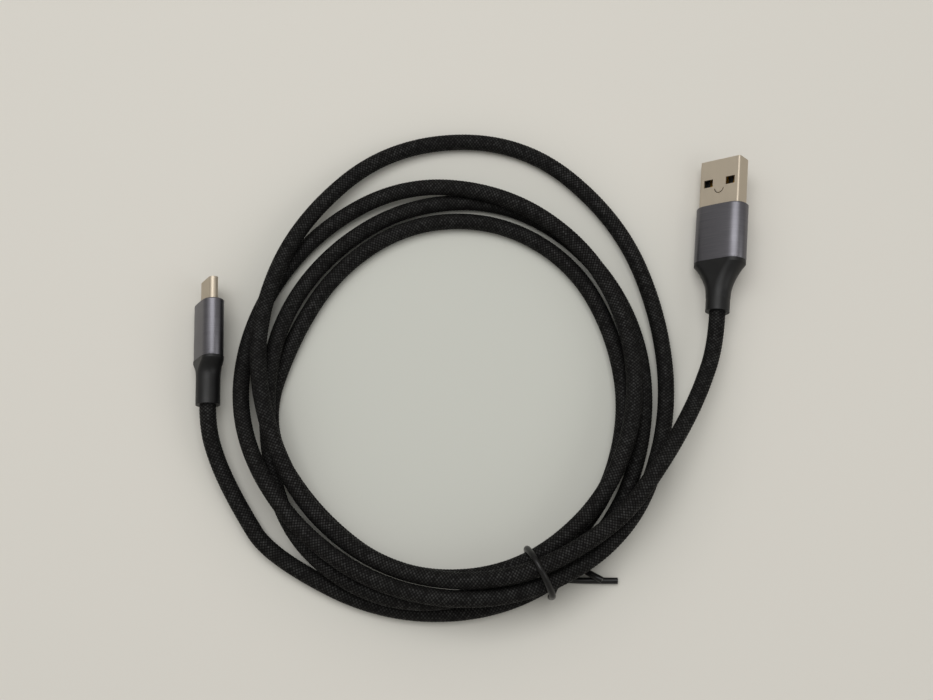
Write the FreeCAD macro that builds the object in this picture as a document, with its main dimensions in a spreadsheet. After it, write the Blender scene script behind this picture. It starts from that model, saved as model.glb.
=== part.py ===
import FreeCAD, Part
import math
import os

import Sketcher
from FreeCAD import Placement, Rotation, Vector

# Charging cable: one braided cord wound in four loose turns and held by a wire tie, with a
# wide rectangular plug (side A) on one end and a small oval plug (side C) on the other.
# Millimetres, +Z up. The cable lies on z = 0, and the origin is on that surface under the
# middle of the box that holds the two plugs.
# Each plug is drawn upright in a frame of its own: x across its wide face, y through its
# thickness, z along its axis from the cord's exit to the tip.

SIZES = [
    # cord and coil
    ("cord_diameter", 4.3, "braided cord, outside"),
    ("turn_gap", 0.5, "room between neighbouring turns"),
    ("rest_flat", 0.5, "depth of the flat that the lowest turns rest on"),
    ("coil_centre_x", -3.0, "middle of the coil in the layout"),
    ("coil_centre_y", -7.8, "middle of the coil in the layout"),
    ("bore_lower_right", 47.3, "innermost cord to the coil's middle, at each station"),
    ("bore_lower_left", 49.5, ""),
    ("bore_upper_left", 41.4, ""),
    ("bore_upper_right", 42.4, ""),
    # tie
    ("tie_diameter", 1.8, "covered tie wire, outside"),
    ("tie_core_diameter", 0.7, "bare wire inside it"),
    ("tie_gap", 0.3, "room between the tie and the cords"),
    ("tie_angle", 292.0, "where the tie stands round the coil, degrees"),
    ("tie_bend_radius", 1.3, "bend from the loop into its two tails"),
    ("tie_tail_gap", 0.4, "room between the two tails"),
    ("tie_long_tail", 16.5, "tail past the bundle"),
    ("tie_short_tail", 9.0, "tail that lies under the long one"),
    # fits shared by both plugs
    ("slip_gap", 0.05, "room between pieces that slide together"),
    ("core_diameter", 2.6, "cord's inside, where its jacket is stripped"),
    ("crimp_wall", 0.3, "ferrule wall"),
    ("power_wire_diameter", 0.9, "insulated power and ground wires"),
    ("data_wire_diameter", 0.7, "insulated data wires"),
    ("neck_diameter", 6.2, "strain relief round the cord"),
    ("spigot_length", 1.5, "strain relief's tongue inside the housing"),
    # side A: the rectangular plug
    ("a_exit_x", 64.8, "cord's exit in the layout"),
    ("a_exit_y", 8.5, ""),
    ("a_heading", 5.5, "plug's axis, degrees clockwise from +Y"),
    ("a_roll", 41.0, "tilt of the wide face from the table, degrees"),
    ("a_boot_length", 13.5, "strain relief"),
    ("a_stripped_length", 2.0, "jacket's end back from the housing"),
    ("a_housing_width", 14.6, "aluminium sleeve"),
    ("a_housing_height", 6.8, ""),
    ("a_housing_corner", 3.1, ""),
    ("a_housing_inner_corner", 1.8, "clears the shell's corners"),
    ("a_housing_wall", 0.8, ""),
    ("a_housing_length", 15.4, ""),
    ("a_shell_width", 12.0, "standard outside of the metal shell"),
    ("a_shell_height", 4.5, ""),
    ("a_shell_corner", 0.6, ""),
    ("a_shell_wall", 0.3, ""),
    ("a_shell_length", 18.75, "standard length of the shell"),
    ("a_shell_exposed", 13.0, "shell past the housing"),
    ("a_seam_width", 0.08, "joint of the folded shell"),
    ("a_window_width", 2.65, "latch windows"),
    ("a_window_length", 2.15, ""),
    ("a_window_spacing", 6.55, "windows, middle to middle"),
    ("a_window_setback", 6.47, "windows' middle to the tip"),
    ("a_lance_radius", 1.4, "crescent cut, outside"),
    ("a_lance_slit", 0.25, "width of that cut"),
    ("a_lance_setback", 8.2, "its centre to the tip"),
    ("a_tongue_thickness", 1.84, "standard tongue"),
    ("a_tongue_setback", 0.9, "tongue's end to the tip"),
    ("a_tongue_relief", 0.1, "tongue's sides in from its block's"),
    ("a_base_length", 5.0, "block that carries the tongue"),
    ("a_base_inset", 0.3, "block's back to the shell's back"),
    ("a_contact_width", 1.0, "standard contacts"),
    ("a_contact_thickness", 0.25, ""),
    ("a_power_spacing", 7.0, "outer contacts, middle to middle"),
    ("a_data_spacing", 2.0, "inner contacts, middle to middle"),
    ("a_power_setback", 1.3, "outer contacts' ends to the tip"),
    ("a_data_setback", 2.3, "inner contacts' ends to the tip"),
    ("a_tail_length", 1.6, "solder tails behind the shell"),
    ("a_crimp_length", 2.6, "ferrule"),
    ("a_chamber_width", 10.8, "room for the wires in the inner mould"),
    ("a_chamber_height", 3.6, ""),
    # side C: the oval plug
    ("c_exit_x", -65.7, "cord's exit in the layout"),
    ("c_exit_y", -16.0, ""),
    ("c_heading", -2.0, ""),
    ("c_roll", 61.0, ""),
    ("c_boot_length", 12.0, ""),
    ("c_stripped_length", 2.0, ""),
    ("c_housing_width", 12.0, ""),
    ("c_housing_height", 5.8, ""),
    ("c_housing_corner", 2.75, ""),
    ("c_housing_inner_corner", 1.8, ""),
    ("c_housing_wall", 0.7, ""),
    ("c_housing_length", 15.05, ""),
    ("c_shell_width", 8.25, "standard outside of the drawn shell"),
    ("c_shell_height", 2.4, ""),
    ("c_shell_corner", 1.15, ""),
    ("c_shell_wall", 0.2, ""),
    ("c_shell_length", 9.45, ""),
    ("c_shell_exposed", 6.2, ""),
    ("c_insulator_inset", 0.3, "insulator back from the shell's two ends"),
    ("c_cavity_width", 6.8, "mating opening"),
    ("c_cavity_height", 1.2, ""),
    ("c_cavity_corner", 0.3, ""),
    ("c_cavity_depth", 6.15, ""),
    ("c_pin_pitch", 0.5, "standard contact pitch"),
    ("c_pin_width", 0.25, ""),
    ("c_pin_thickness", 0.15, ""),
    ("c_pin_setback", 1.05, "contacts' ends to the tip"),
    ("c_tail_length", 1.2, "contacts' tails on the board"),
    ("c_latch_plate", 0.15, "latch, middle plate"),
    ("c_latch_arm_width", 0.25, "latch, side arms"),
    ("c_latch_arm_height", 0.6, ""),
    ("c_latch_setback", 1.6, "arms' ends to the tip"),
    ("c_spring_width", 5.9, "earthing springs"),
    ("c_spring_length", 2.4, ""),
    ("c_spring_thickness", 0.1, ""),
    ("c_spring_setback", 1.1, ""),
    ("c_can_width", 9.4, "shield can round the board"),
    ("c_can_height", 3.3, ""),
    ("c_can_corner", 0.6, ""),
    ("c_can_wall", 0.2, ""),
    ("c_can_setback", 0.35, "can's back to the stripped core"),
    ("c_window_width", 4.0, "wires' opening in the can"),
    ("c_window_height", 2.6, ""),
    ("c_board_width", 8.6, "circuit board"),
    ("c_board_thickness", 0.8, ""),
    ("c_board_setback", 1.3, "board's back to the can's"),
    ("c_resistor_length", 1.0, "surface resistor"),
    ("c_resistor_width", 0.5, ""),
    ("c_resistor_height", 0.35, ""),
    ("c_resistor_offset", 2.6, "resistor's middle to the board's middle line"),
    ("c_crimp_length", 2.6, "ferrule"),
]

# Where the cord passes each corner station of the coil, clockwise from the lower right:
# its lane, counted outward from the station's bore, and its layer, counted up from the
# lowest cord there. The last entry is the end that leaves for side C.
FIRST_STATION_ANGLE = 315.0
TURNS = [
    [(1.70, 2.00), (0.00, 1.70), (3.25, 1.25), (3.55, 0.00)],
    [(1.95, 1.00), (1.35, 1.60), (2.50, 0.00), (1.05, 1.15)],
    [(0.05, 1.40), (0.00, 0.00), (0.00, 0.00), (0.00, 0.00)],
    [(0.00, 0.00), (1.65, 0.00), (1.05, 0.00), (1.10, 0.00)],
    [(1.35, 0.00), (3.00, 0.00)],
]
# Outward lean of the cord at stations of the loose first turn, which bulges between them.
# At the others the lean follows from the stations before and after.
LEANS = {2: 0.26, 3: -0.20}

# Routes of the cord between the plugs and the coil, in the layout: x, y, z. Their first and
# last runs come from the plug's axis and the coil's end.
ROUTE_A = [(60.4, -11.9, 7.8), (56.1, -21.0, 11.0), (50.6, -32.3, 13.6)]
ROUTE_C = [(-63.4, -34.3, 3.7), (-60.2, -41.3, 2.6)]
PLUG_RUN, COIL_RUN = 9.0, 6.3  # straight runs out of a plug and out of the coil's end
RUN_SHARE = 0.45  # part of the shorter run that an arc takes up

# Outline of each strain relief: share of its length, and share of the step from its neck
# to the housing's outline. From the last one on, a straight collar runs to the housing.
BOOT_OUTLINES = {
    "a": [(0.25, 0.0), (0.37, 0.035), (0.50, 0.12), (0.62, 0.27), (0.73, 0.46), (0.82, 0.66), (0.89, 0.84),
          (0.93, 0.96)],
    "c": [(0.55, 0.0), (0.65, 0.03), (0.74, 0.16), (0.81, 0.38), (0.87, 0.64), (0.92, 0.86), (0.95, 0.95)],
}
NECK_ROUND = 0.49  # corner of the round neck, in shares of its width

# Places of the four wires on the stripped core, in shares of its radius.
CORE_SPOTS = {
    "power": (-0.54, 0.24), "ground": (0.54, 0.24), "minus": (-0.31, -0.54), "plus": (0.31, -0.54),
}
WIRE_LEAD = 0.22  # straight start of each of those wires, in shares of its length

# The tie's two tails, in shares of their lengths: how far out and how far along the cords
# each lies at its tip and at the point where it turns from the loop.
LONG_TAIL = [(0.27, 1.0), (0.02, 0.42)]
SHORT_TAIL = [(0.16, 0.4), (-0.04, 1.0)]

# Positions of the contacts that the oval plug fills, counted from its middle in pitches.
C_UPPER_PINS = [-5.5, -2.5, -1.5, -0.5, 0.5, 2.5, 5.5]
C_LOWER_PINS = [-5.5, -2.5, -1.5, 2.5, 5.5]

doc = FreeCAD.newDocument("ChargingCable")
sheet = doc.addObject("Spreadsheet::Sheet", "Sizes")
for row, (alias, value, note) in enumerate(SIZES, 1):
    sheet.set(f"A{row}", note)
    sheet.set(f"B{row}", str(value))
    sheet.setAlias(f"B{row}", alias)
doc.recompute()
SIZE_NAMES = {alias for alias, _, _ in SIZES}
pieces = {}


def size(name):
    """The value of one named size, in millimetres or degrees."""
    return float(sheet.get(name))


def named(expression):
    """An expression with each size's name pointed at the sheet."""
    return " ".join(f"Sizes.{word}" if word in SIZE_NAMES else word for word in expression.split())


def bind(obj, prop, expression):
    """Bind a property to an expression of named sizes."""
    obj.setExpression(prop, named(expression))


def value(expression):
    """The number that an expression of named sizes gives."""
    return float(sheet.evalExpression(named(expression)))


def keep(obj, label, frame):
    """Name a finished sub-part and note the frame that it stands in."""
    obj.Label = label
    pieces[label] = (obj, frame)
    return obj


# Sketches and features of a body


def sketch_on_base(body, name, x, y, z):
    """A sketch parallel to the body's base plane, moved to x, y, z."""
    sketch = body.newObject("Sketcher::SketchObject", name)
    plane = next(f for f in body.Origin.OriginFeatures if f.Role == "XY_Plane")
    sketch.AttachmentSupport = (plane, [""])
    sketch.MapMode = "FlatFace"
    for axis, expression in (("x", x), ("y", y), ("z", z)):
        bind(sketch, f"AttachmentOffset.Base.{axis}", expression)
    return sketch


def rounded_sketch(body, name, width, height, corner, z, x="0", y="0"):
    """A rectangle with round corners, centred on its sketch."""
    sketch = sketch_on_base(body, name, x, y, z)
    w, h, r = 3.0, 2.0, 0.5
    quarter = math.pi / 2
    centres = [(w - r, h - r), (r - w, h - r), (r - w, r - h), (w - r, r - h)]
    for k, (cx, cy) in enumerate(centres):
        circle = Part.Circle(Vector(cx, cy, 0), Vector(0, 0, 1), r)
        sketch.addGeometry(Part.ArcOfCircle(circle, k * quarter, (k + 1) * quarter), False)
    ends = [[(w - r, h), (r - w, h)], [(-w, h - r), (-w, r - h)],
            [(r - w, -h), (w - r, -h)], [(w, r - h), (w, h - r)]]
    for (ax, ay), (bx, by) in ends:
        sketch.addGeometry(Part.LineSegment(Vector(ax, ay, 0), Vector(bx, by, 0)), False)
    for k in range(4):
        sketch.addConstraint(Sketcher.Constraint("Tangent", k, 2, 4 + k, 1))
        sketch.addConstraint(Sketcher.Constraint("Tangent", 4 + k, 2, (k + 1) % 4, 1))
    for line, direction in ((4, "Horizontal"), (5, "Vertical"), (6, "Horizontal"), (7, "Vertical")):
        sketch.addConstraint(Sketcher.Constraint(direction, line))
    for k in range(1, 4):
        sketch.addConstraint(Sketcher.Constraint("Equal", 0, k))
    sketch.addConstraint(Sketcher.Constraint("Symmetric", 0, 3, 2, 3, -1, 1))
    span = Sketcher.Constraint("DistanceX", 1, 3, 0, 3, 2 * (w - r))
    rise = Sketcher.Constraint("DistanceY", 3, 3, 0, 3, 2 * (h - r))
    for prop, constraint, expression in (
        ("corner", Sketcher.Constraint("Radius", 0, r), corner),
        ("span", span, f"( {width} ) - 2 * ( {corner} )"),
        ("rise", rise, f"( {height} ) - 2 * ( {corner} )"),
    ):
        index = sketch.addConstraint(constraint)
        sketch.renameConstraint(index, prop)
        bind(sketch, f"Constraints.{prop}", expression)
    return sketch


def round_sketch(body, name, diameter, z, x="0", y="0"):
    """A circle centred on its sketch."""
    sketch = sketch_on_base(body, name, x, y, z)
    sketch.addGeometry(Part.Circle(Vector(0, 0, 0), Vector(0, 0, 1), 1.0), False)
    sketch.addConstraint(Sketcher.Constraint("Coincident", 0, 3, -1, 1))
    index = sketch.addConstraint(Sketcher.Constraint("Diameter", 0, 2.0))
    sketch.renameConstraint(index, "across")
    bind(sketch, "Constraints.across", diameter)
    return sketch


def pad(body, sketch, length):
    """Raise a sketch along +z."""
    feature = body.newObject("PartDesign::Pad", f"{sketch.Name}_pad")
    feature.Profile = sketch
    bind(feature, "Length", length)
    sketch.Visibility = False
    return feature


def pocket(body, sketch, length):
    """Cut along +z from a sketch."""
    feature = body.newObject("PartDesign::Pocket", f"{sketch.Name}_pocket")
    feature.Profile = sketch
    feature.Reversed = True
    bind(feature, "Length", length)
    return feature


def new_body(label, frame):
    """A body for one sub-part."""
    return keep(doc.addObject("PartDesign::Body", f"{label}_body"), label, frame)


def sleeve(label, frame, outer, inner, z, length):
    """A tube with rounded rectangles outside and inside, open at both ends."""
    body = new_body(label, frame)
    pad(body, rounded_sketch(body, f"{label}_outside", *outer, z), length)
    pocket(body, rounded_sketch(body, f"{label}_inside", *inner, z), length)
    return body


def box(name, width, height, length, z, x="0", y="0"):
    """A block centred on x, y that starts at z."""
    block = doc.addObject("Part::Box", name)
    for prop, expression in (("Length", width), ("Width", height), ("Height", length)):
        bind(block, prop, expression)
    bind(block, "Placement.Base.x", f"( {x} ) - ( {width} ) / 2")
    bind(block, "Placement.Base.y", f"( {y} ) - ( {height} ) / 2")
    bind(block, "Placement.Base.z", z)
    return block


def cylinder(name, diameter, length, z, x="0", y="0"):
    """A round bar along z that starts at z."""
    bar = doc.addObject("Part::Cylinder", name)
    bind(bar, "Radius", f"( {diameter} ) / 2")
    bind(bar, "Height", length)
    for axis, expression in (("x", x), ("y", y), ("z", z)):
        bind(bar, f"Placement.Base.{axis}", expression)
    return bar


def joined(label, frame, shapes):
    """Several blocks as one sub-part: fused where they touch, separate where they don't."""
    group = doc.addObject("Part::MultiFuse", f"{label}_group")
    group.Shapes = shapes
    group.Refine = True
    return keep(group, label, frame)


def cut_from(name, base, tools):
    """A base less all of its tools."""
    holes = doc.addObject("Part::MultiFuse", f"{name}_holes")
    holes.Shapes = tools
    result = doc.addObject("Part::Cut", name)
    result.Base = base
    result.Tool = holes
    return result


# Cords and wires: straight runs joined by tangent arcs


def corner_radius(before, corner, after, wanted=None):
    """The arc at a corner of a route: the wanted radius, within what its two runs allow."""
    one, two = before - corner, after - corner
    half_turn = (math.pi - one.getAngle(two)) / 2
    largest = RUN_SHARE * min(one.Length, two.Length) / math.tan(half_turn)
    return largest if wanted is None else min(wanted, largest)


def rounded_route(points, radii=None):
    """A wire along the points with its corners rounded, and the radii used."""
    radii = radii or [None] * len(points)
    edges, used = [], []
    start = points[0]
    for k in range(1, len(points) - 1):
        before, corner, after = points[k - 1], points[k], points[k + 1]
        radius = corner_radius(before, corner, after, radii[k])
        one, two = (before - corner).normalize(), (after - corner).normalize()
        half_turn = (math.pi - one.getAngle(two)) / 2
        reach = radius * math.tan(half_turn)
        enter, leave = corner + one * reach, corner + two * reach
        middle = corner + (one + two).normalize() * (radius / math.cos(half_turn) - radius)
        if (enter - start).Length > 1e-6:
            edges.append(Part.LineSegment(start, enter).toShape())
        edges.append(Part.Arc(enter, middle, leave).toShape())
        used.append(radius)
        start = leave
    edges.append(Part.LineSegment(start, points[-1]).toShape())
    return Part.Wire(edges), used


def tube_on(wire, diameter, bore=0.0):
    """A round tube or bar along a wire, with its volume tested against section times length."""
    first = wire.OrderedEdges[0]
    at, along = first.valueAt(first.FirstParameter), first.tangentAt(first.FirstParameter)
    solids = []
    for across in (diameter, bore):
        if across > 0:
            ring = Part.Wire([Part.makeCircle(across / 2, at, along)])
            solid = wire.makePipeShell([ring], True, False)
            expected = math.pi * across ** 2 / 4 * wire.Length
            if abs(solid.Volume - expected) > 0.01 * expected:
                raise ValueError(f"tube volume {solid.Volume:.1f}, expected {expected:.1f}")
            solids.append(solid)
    return solids[0].cut(solids[1]) if bore > 0 else solids[0]


def shape_piece(label, shape, frame):
    """A sub-part whose shape comes from the functions above."""
    piece = doc.addObject("Part::Feature", f"{label}_shape")
    piece.Shape = shape
    return keep(piece, label, frame)


def wire_between(start, end, diameter):
    """An insulated wire that leaves along z, shifts across and ends along z."""
    lead = WIRE_LEAD * (end - start).Length
    points = [start, start + Vector(0, 0, lead), end - Vector(0, 0, 2 * lead), end]
    route, _ = rounded_route(points)
    return tube_on(route, diameter)


# The coil: biarcs of a quarter turn between its stations


def lowest_cord(station):
    """Height of the lowest cord's middle at a station. The tie passes under it by the first."""
    floor = size("cord_diameter") / 2 - size("rest_flat")
    if station:
        return floor
    turned = (FIRST_STATION_ANGLE - size("tie_angle")) / 90
    share = 1 - 2 * turned ** 2
    return floor + (size("tie_diameter") + size("tie_gap") + size("rest_flat")) / share


def coil_stations():
    """Angle, radius and height of the cord's middle at every station, in order."""
    corners = ("lower_right", "lower_left", "upper_left", "upper_right")
    bores = [size(f"bore_{corner}") for corner in corners]
    pitch = size("cord_diameter") + size("turn_gap")
    stations = []
    for turn in TURNS:
        for corner, (lane, layer) in enumerate(turn):
            angle = FIRST_STATION_ANGLE - 90 * len(stations)
            stations.append((angle, bores[corner] + lane * pitch, lowest_cord(corner) + layer * pitch))
    angle, radius, _ = stations[-1]
    stations[-1] = (angle, radius, size("cord_diameter") / 2)
    return stations


def coil_joints():
    """Point and level tangent of the cord at every station."""
    stations = coil_stations()
    centre = Vector(size("coil_centre_x"), size("coil_centre_y"), 0)
    joints = []
    for k, (angle, radius, height) in enumerate(stations):
        before, after = stations[max(k - 1, 0)], stations[min(k + 1, len(stations) - 1)]
        turned = math.radians(before[0] - after[0])
        slope = LEANS.get(k, (after[1] - before[1]) / (turned * radius))
        a = math.radians(angle)
        outward, onward = Vector(math.cos(a), math.sin(a), 0), Vector(math.sin(a), -math.cos(a), 0)
        spot = centre + outward * radius + Vector(0, 0, height)
        joints.append((spot, (onward + outward * slope).normalize()))
    return joints


def biarc(start, start_tangent, end, end_tangent):
    """Two arcs that leave and arrive along the tangents, as edges and as three-point arcs."""
    chord, both = end - start, start_tangent + end_tangent
    a = 2 * (1 - start_tangent.dot(end_tangent))
    b = 2 * chord.dot(both)
    c = chord.dot(chord)
    reach = c / b if abs(a) < 1e-9 else (math.sqrt(b * b + 4 * a * c) - b) / (2 * a)
    first, last = start + start_tangent * reach, end - end_tangent * reach
    meet = (first + last) * 0.5
    arcs = []
    for p, corner, q in ((start, first, meet), (meet, last, end)):
        one, two = (p - corner).normalize(), (q - corner).normalize()
        half_turn = (math.pi - one.getAngle(two)) / 2
        radius = (p - corner).Length / math.tan(half_turn)
        middle = corner + (one + two).normalize() * (radius / math.cos(half_turn) - radius)
        arcs.append(Part.Arc(p, middle, q))
    return arcs


def coil_wire():
    """The coil's whole path, straight for one diameter at each end."""
    joints = coil_joints()
    reach = size("cord_diameter")
    (start, start_tangent), (end, end_tangent) = joints[0], joints[-1]
    lead_in, lead_out = start - start_tangent * reach, end + end_tangent * reach
    edges = [Part.LineSegment(lead_in, start).toShape()]
    for (p, t), (q, u) in zip(joints, joints[1:]):
        edges += [arc.toShape() for arc in biarc(p, t, q, u)]
    edges.append(Part.LineSegment(end, lead_out).toShape())
    return Part.Wire(edges), (lead_in, start_tangent), (lead_out, end_tangent)


def least_gap(points, spacing, diameter):
    """Least gap of a tube to itself, measured on evenly spaced points of its path."""
    apart = int(4 * diameter / spacing)
    cell = 2 * diameter
    cells = {}
    for k, p in enumerate(points):
        cells.setdefault((int(p.x // cell), int(p.y // cell)), []).append(k)
    least = math.inf
    for (i, j), near in cells.items():
        around = [k for di in (-1, 0, 1) for dj in (-1, 0, 1) for k in cells.get((i + di, j + dj), [])]
        for k in near:
            for m in around:
                if m > k + apart:
                    least = min(least, points[k].distanceToPoint(points[m]) - diameter)
    return least


# The tie: a wire bent round the bundle, with its two tails turned along the cords


def bundle_section(points):
    """The cords' middles where they pass the tie, as (radius, height)."""
    centre = Vector(size("coil_centre_x"), size("coil_centre_y"), 0)
    a = math.radians(size("tie_angle"))
    outward, side = Vector(math.cos(a), math.sin(a), 0), Vector(-math.sin(a), math.cos(a), 0)
    found = []
    for p, q in zip(points, points[1:]):
        before, after = (p - centre).dot(side), (q - centre).dot(side)
        if before > 0 >= after and (p - centre).dot(outward) > 0:
            found.append(((q - centre).dot(outward), q.z))
    return found


def convex_ring(spots):
    """The outermost of some flat spots, anticlockwise from the lowest of the innermost."""
    def chain(ordered):
        ring = []
        for spot in ordered:
            while len(ring) > 1:
                (ax, ay), (bx, by) = ring[-2], ring[-1]
                if (bx - ax) * (spot[1] - ay) - (by - ay) * (spot[0] - ax) > 0:
                    break
                ring.pop()
            ring.append(spot)
        return ring[:-1]

    ordered = sorted(spots)
    return chain(ordered) + chain(ordered[::-1])


def tie_route(points):
    """Path of the tie wire, tail to tail, in the layout, and the radius of each corner."""
    around = (size("cord_diameter") + size("tie_diameter")) / 2 + size("tie_gap")
    ring = convex_ring(bundle_section(points))
    count = len(ring)
    corners = []
    for k, (r, z) in enumerate(ring):
        (br, bz), (ar, az) = ring[k - 1], ring[(k + 1) % count]
        one = Vector(z - bz, br - r, 0).normalize()
        two = Vector(az - z, r - ar, 0).normalize()
        corners.append(Vector(r, z, 0) + (one + two) * (around / (1 + one.dot(two))))
    lowest_outer = max(range(count), key=lambda k: ring[k][0] - ring[k][1])
    order = [corners[(lowest_outer + 1 + k) % count] for k in range(count)]
    side_low, side_high = order[-1], order[0]
    up = (side_high - side_low).normalize()
    middle = (side_low + side_high) * 0.5
    apart = (size("tie_diameter") + size("tie_tail_gap")) / 2
    bend = size("tie_bend_radius")
    flat = [(middle + up * apart, 0.0, bend)]
    flat += [(corner, 0.0, around) for corner in order]
    flat += [(middle - up * apart, 0.0, bend)]
    long_tail, short_tail = size("tie_long_tail"), size("tie_short_tail")
    upper, lower = flat[0][0].y, flat[-1][0].y
    tail_one = [(Vector(middle.x + out * long_tail, upper, 0), along * long_tail, None)
                for out, along in LONG_TAIL]
    tail_two = [(Vector(middle.x + out * short_tail, lower, 0), along * short_tail, None)
                for out, along in SHORT_TAIL]
    centre = Vector(size("coil_centre_x"), size("coil_centre_y"), 0)
    a = math.radians(size("tie_angle"))
    outward, side = Vector(math.cos(a), math.sin(a), 0), Vector(-math.sin(a), math.cos(a), 0)
    route, radii = [], []
    for spot, along, radius in tail_one + flat + tail_two:
        route.append(centre + outward * spot.x + side * along + Vector(0, 0, spot.y))
        radii.append(radius)
    return route, radii


# Frames


def plug_frame(side):
    """Where a plug stands: its axis along its heading, its housing's lowest edge on the table."""
    heading, roll = math.radians(size(f"{side}_heading")), math.radians(size(f"{side}_roll"))
    axis = Vector(math.sin(heading), math.cos(heading), 0)
    right = Vector(math.cos(heading), -math.sin(heading), 0)
    across = right * math.cos(roll) + Vector(0, 0, math.sin(roll))
    corner = size(f"{side}_housing_corner")
    height = (size(f"{side}_housing_width") / 2 - corner) * math.sin(roll) + corner
    height += (size(f"{side}_housing_height") / 2 - corner) * math.cos(roll)
    spot = Vector(size(f"{side}_exit_x"), size(f"{side}_exit_y"), height)
    return Placement(spot, Rotation(across, axis.cross(across), axis, "ZXY"))


FRAME_A, FRAME_C, LAYOUT = plug_frame("a"), plug_frame("c"), Placement()

# Both plugs: housing, strain relief, inner mould, cord end and ferrule


def plug_casing(side, frame, chamber):
    """The pieces that both plugs have, from the cord's exit to the housing's front."""
    boot, housing = f"{side}_boot_length", f"{side}_housing_length"
    width, height, corner = (f"{side}_housing_{word}" for word in ("width", "height", "corner"))
    wall = f"{side}_housing_wall"
    inner = (f"{width} - 2 * {wall}", f"{height} - 2 * {wall}", f"{side}_housing_inner_corner")
    filled = tuple(f"{across} - 2 * slip_gap" for across in inner[:2]) + (f"{inner[2]} - slip_gap",)
    shell = tuple(f"{side}_shell_{word}" for word in ("width", "height", "corner"))
    passage = tuple(f"{across} + 2 * slip_gap" for across in shell[:2]) + (f"{shell[2]} + slip_gap",)
    name = f"usb_{side}"

    body = new_body(f"{name}_housing", frame)
    pad(body, rounded_sketch(body, f"{name}_housing_outside", width, height, corner, boot), housing)
    pocket(body, rounded_sketch(body, f"{name}_housing_inside", *inner, boot), f"{housing} - {wall}")
    pocket(body, rounded_sketch(body, f"{name}_housing_mouth", *passage, boot), housing)

    body = new_body(f"{name}_strain_relief", frame)
    neck = ("neck_diameter", "neck_diameter", f"{NECK_ROUND} * neck_diameter")
    first = rounded_sketch(body, f"{name}_relief_0", *neck, "0")
    outline, sections = BOOT_OUTLINES[side], []
    for k, (share, step) in enumerate(outline, 1):
        across = [f"neck_diameter + {step} * ( {full} - neck_diameter )" for full in (width, height)]
        round_off = f"{neck[2]} + {step} * ( {corner} - {neck[2]} )"
        section = rounded_sketch(body, f"{name}_relief_{k}", *across, round_off, f"{share} * {boot}")
        sections.append(section)
    pad(body, first, f"{outline[0][0]} * {boot}")
    flare = body.newObject("PartDesign::AdditiveLoft", f"{name}_relief_flare")
    flare.Profile = sections[0]
    flare.Sections = sections[1:]
    pad(body, rounded_sketch(body, f"{name}_relief_collar", *across, round_off, f"{share} * {boot}"),
        f"( 1 - {share} ) * {boot}")
    pad(body, rounded_sketch(body, f"{name}_spigot", *filled, boot), "spigot_length")
    jacket_end = f"{boot} - {side}_stripped_length"
    bore = round_sketch(body, f"{name}_jacket_bore", "cord_diameter + 2 * slip_gap", "0")
    pocket(body, bore, jacket_end)
    bore = round_sketch(body, f"{name}_core_bore", "core_diameter + 2 * slip_gap", "0")
    pocket(body, bore, f"{boot} + spigot_length")

    mould_start = f"{boot} + spigot_length + slip_gap"
    mould_end = f"{boot} + {housing} - {wall} - slip_gap"
    shell_start = f"{boot} + {housing} + {side}_shell_exposed - {side}_shell_length"
    core_end = f"{mould_start} + {side}_crimp_length + 4 * slip_gap"
    body = new_body(f"{name}_inner_mould", frame)
    outside = rounded_sketch(body, f"{name}_mould_outside", *filled, mould_start)
    pad(body, outside, f"{mould_end} - ( {mould_start} )")
    ferrule = "core_diameter + 2 * crimp_wall"
    bore = round_sketch(body, f"{name}_mould_bore", f"{ferrule} + 4 * slip_gap", mould_start)
    pocket(body, bore, f"{core_end} - ( {mould_start} )")
    room = rounded_sketch(body, f"{name}_mould_chamber", *chamber, core_end)
    pocket(body, room, f"{shell_start} - ( {core_end} )")
    seat = rounded_sketch(body, f"{name}_mould_seat", *passage, shell_start)
    pocket(body, seat, f"{mould_end} - ( {shell_start} )")

    jacket = cylinder(f"{name}_jacket", "cord_diameter", jacket_end, "0")
    core = cylinder(f"{name}_core", "core_diameter", core_end, "0")
    joined(f"{name}_cable_end", frame, [jacket, core])

    crimp = doc.addObject("Part::Cut", f"{name}_crimp_ring")
    length, start = f"{side}_crimp_length", f"{mould_start} + 2 * slip_gap"
    crimp.Base = cylinder(f"{name}_crimp_outside", f"{ferrule} + 2 * slip_gap", length, start)
    crimp.Tool = cylinder(f"{name}_crimp_inside", "core_diameter + 2 * slip_gap", length, start)
    keep(crimp, f"{name}_crimp", frame)
    return shell_start, core_end


def core_spot(wire, z):
    """Where a wire leaves the stripped core."""
    radius = size("core_diameter") / 2
    x, y = CORE_SPOTS[wire]
    return Vector(x * radius, y * radius, z)


# Side A: shell, tongue, contacts and wires

A_SHELL_START, A_CORE_END = plug_casing("a", FRAME_A, ("a_chamber_width", "a_chamber_height", "0.5"))
A_TIP = "a_boot_length + a_housing_length + a_shell_exposed"
A_INNER = ("a_shell_width - 2 * a_shell_wall", "a_shell_height - 2 * a_shell_wall",
           "a_shell_corner - a_shell_wall")
A_CONTACT_FACE = "a_shell_height / 2 - a_shell_wall - slip_gap - a_tongue_thickness"
A_CONTACT_Y = f"{A_CONTACT_FACE} - a_contact_thickness / 2"


def across_y(name, diameter, length, y, z):
    """A round bar along y, centred on y, on the plug's middle line."""
    bar = doc.addObject("Part::Cylinder", name)
    bar.Placement = Placement(Vector(), Rotation(Vector(1, 0, 0), -90))
    bind(bar, "Radius", f"( {diameter} ) / 2")
    bind(bar, "Height", length)
    bind(bar, "Placement.Base.y", f"( {y} ) - ( {length} ) / 2")
    bind(bar, "Placement.Base.z", z)
    return bar


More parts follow.
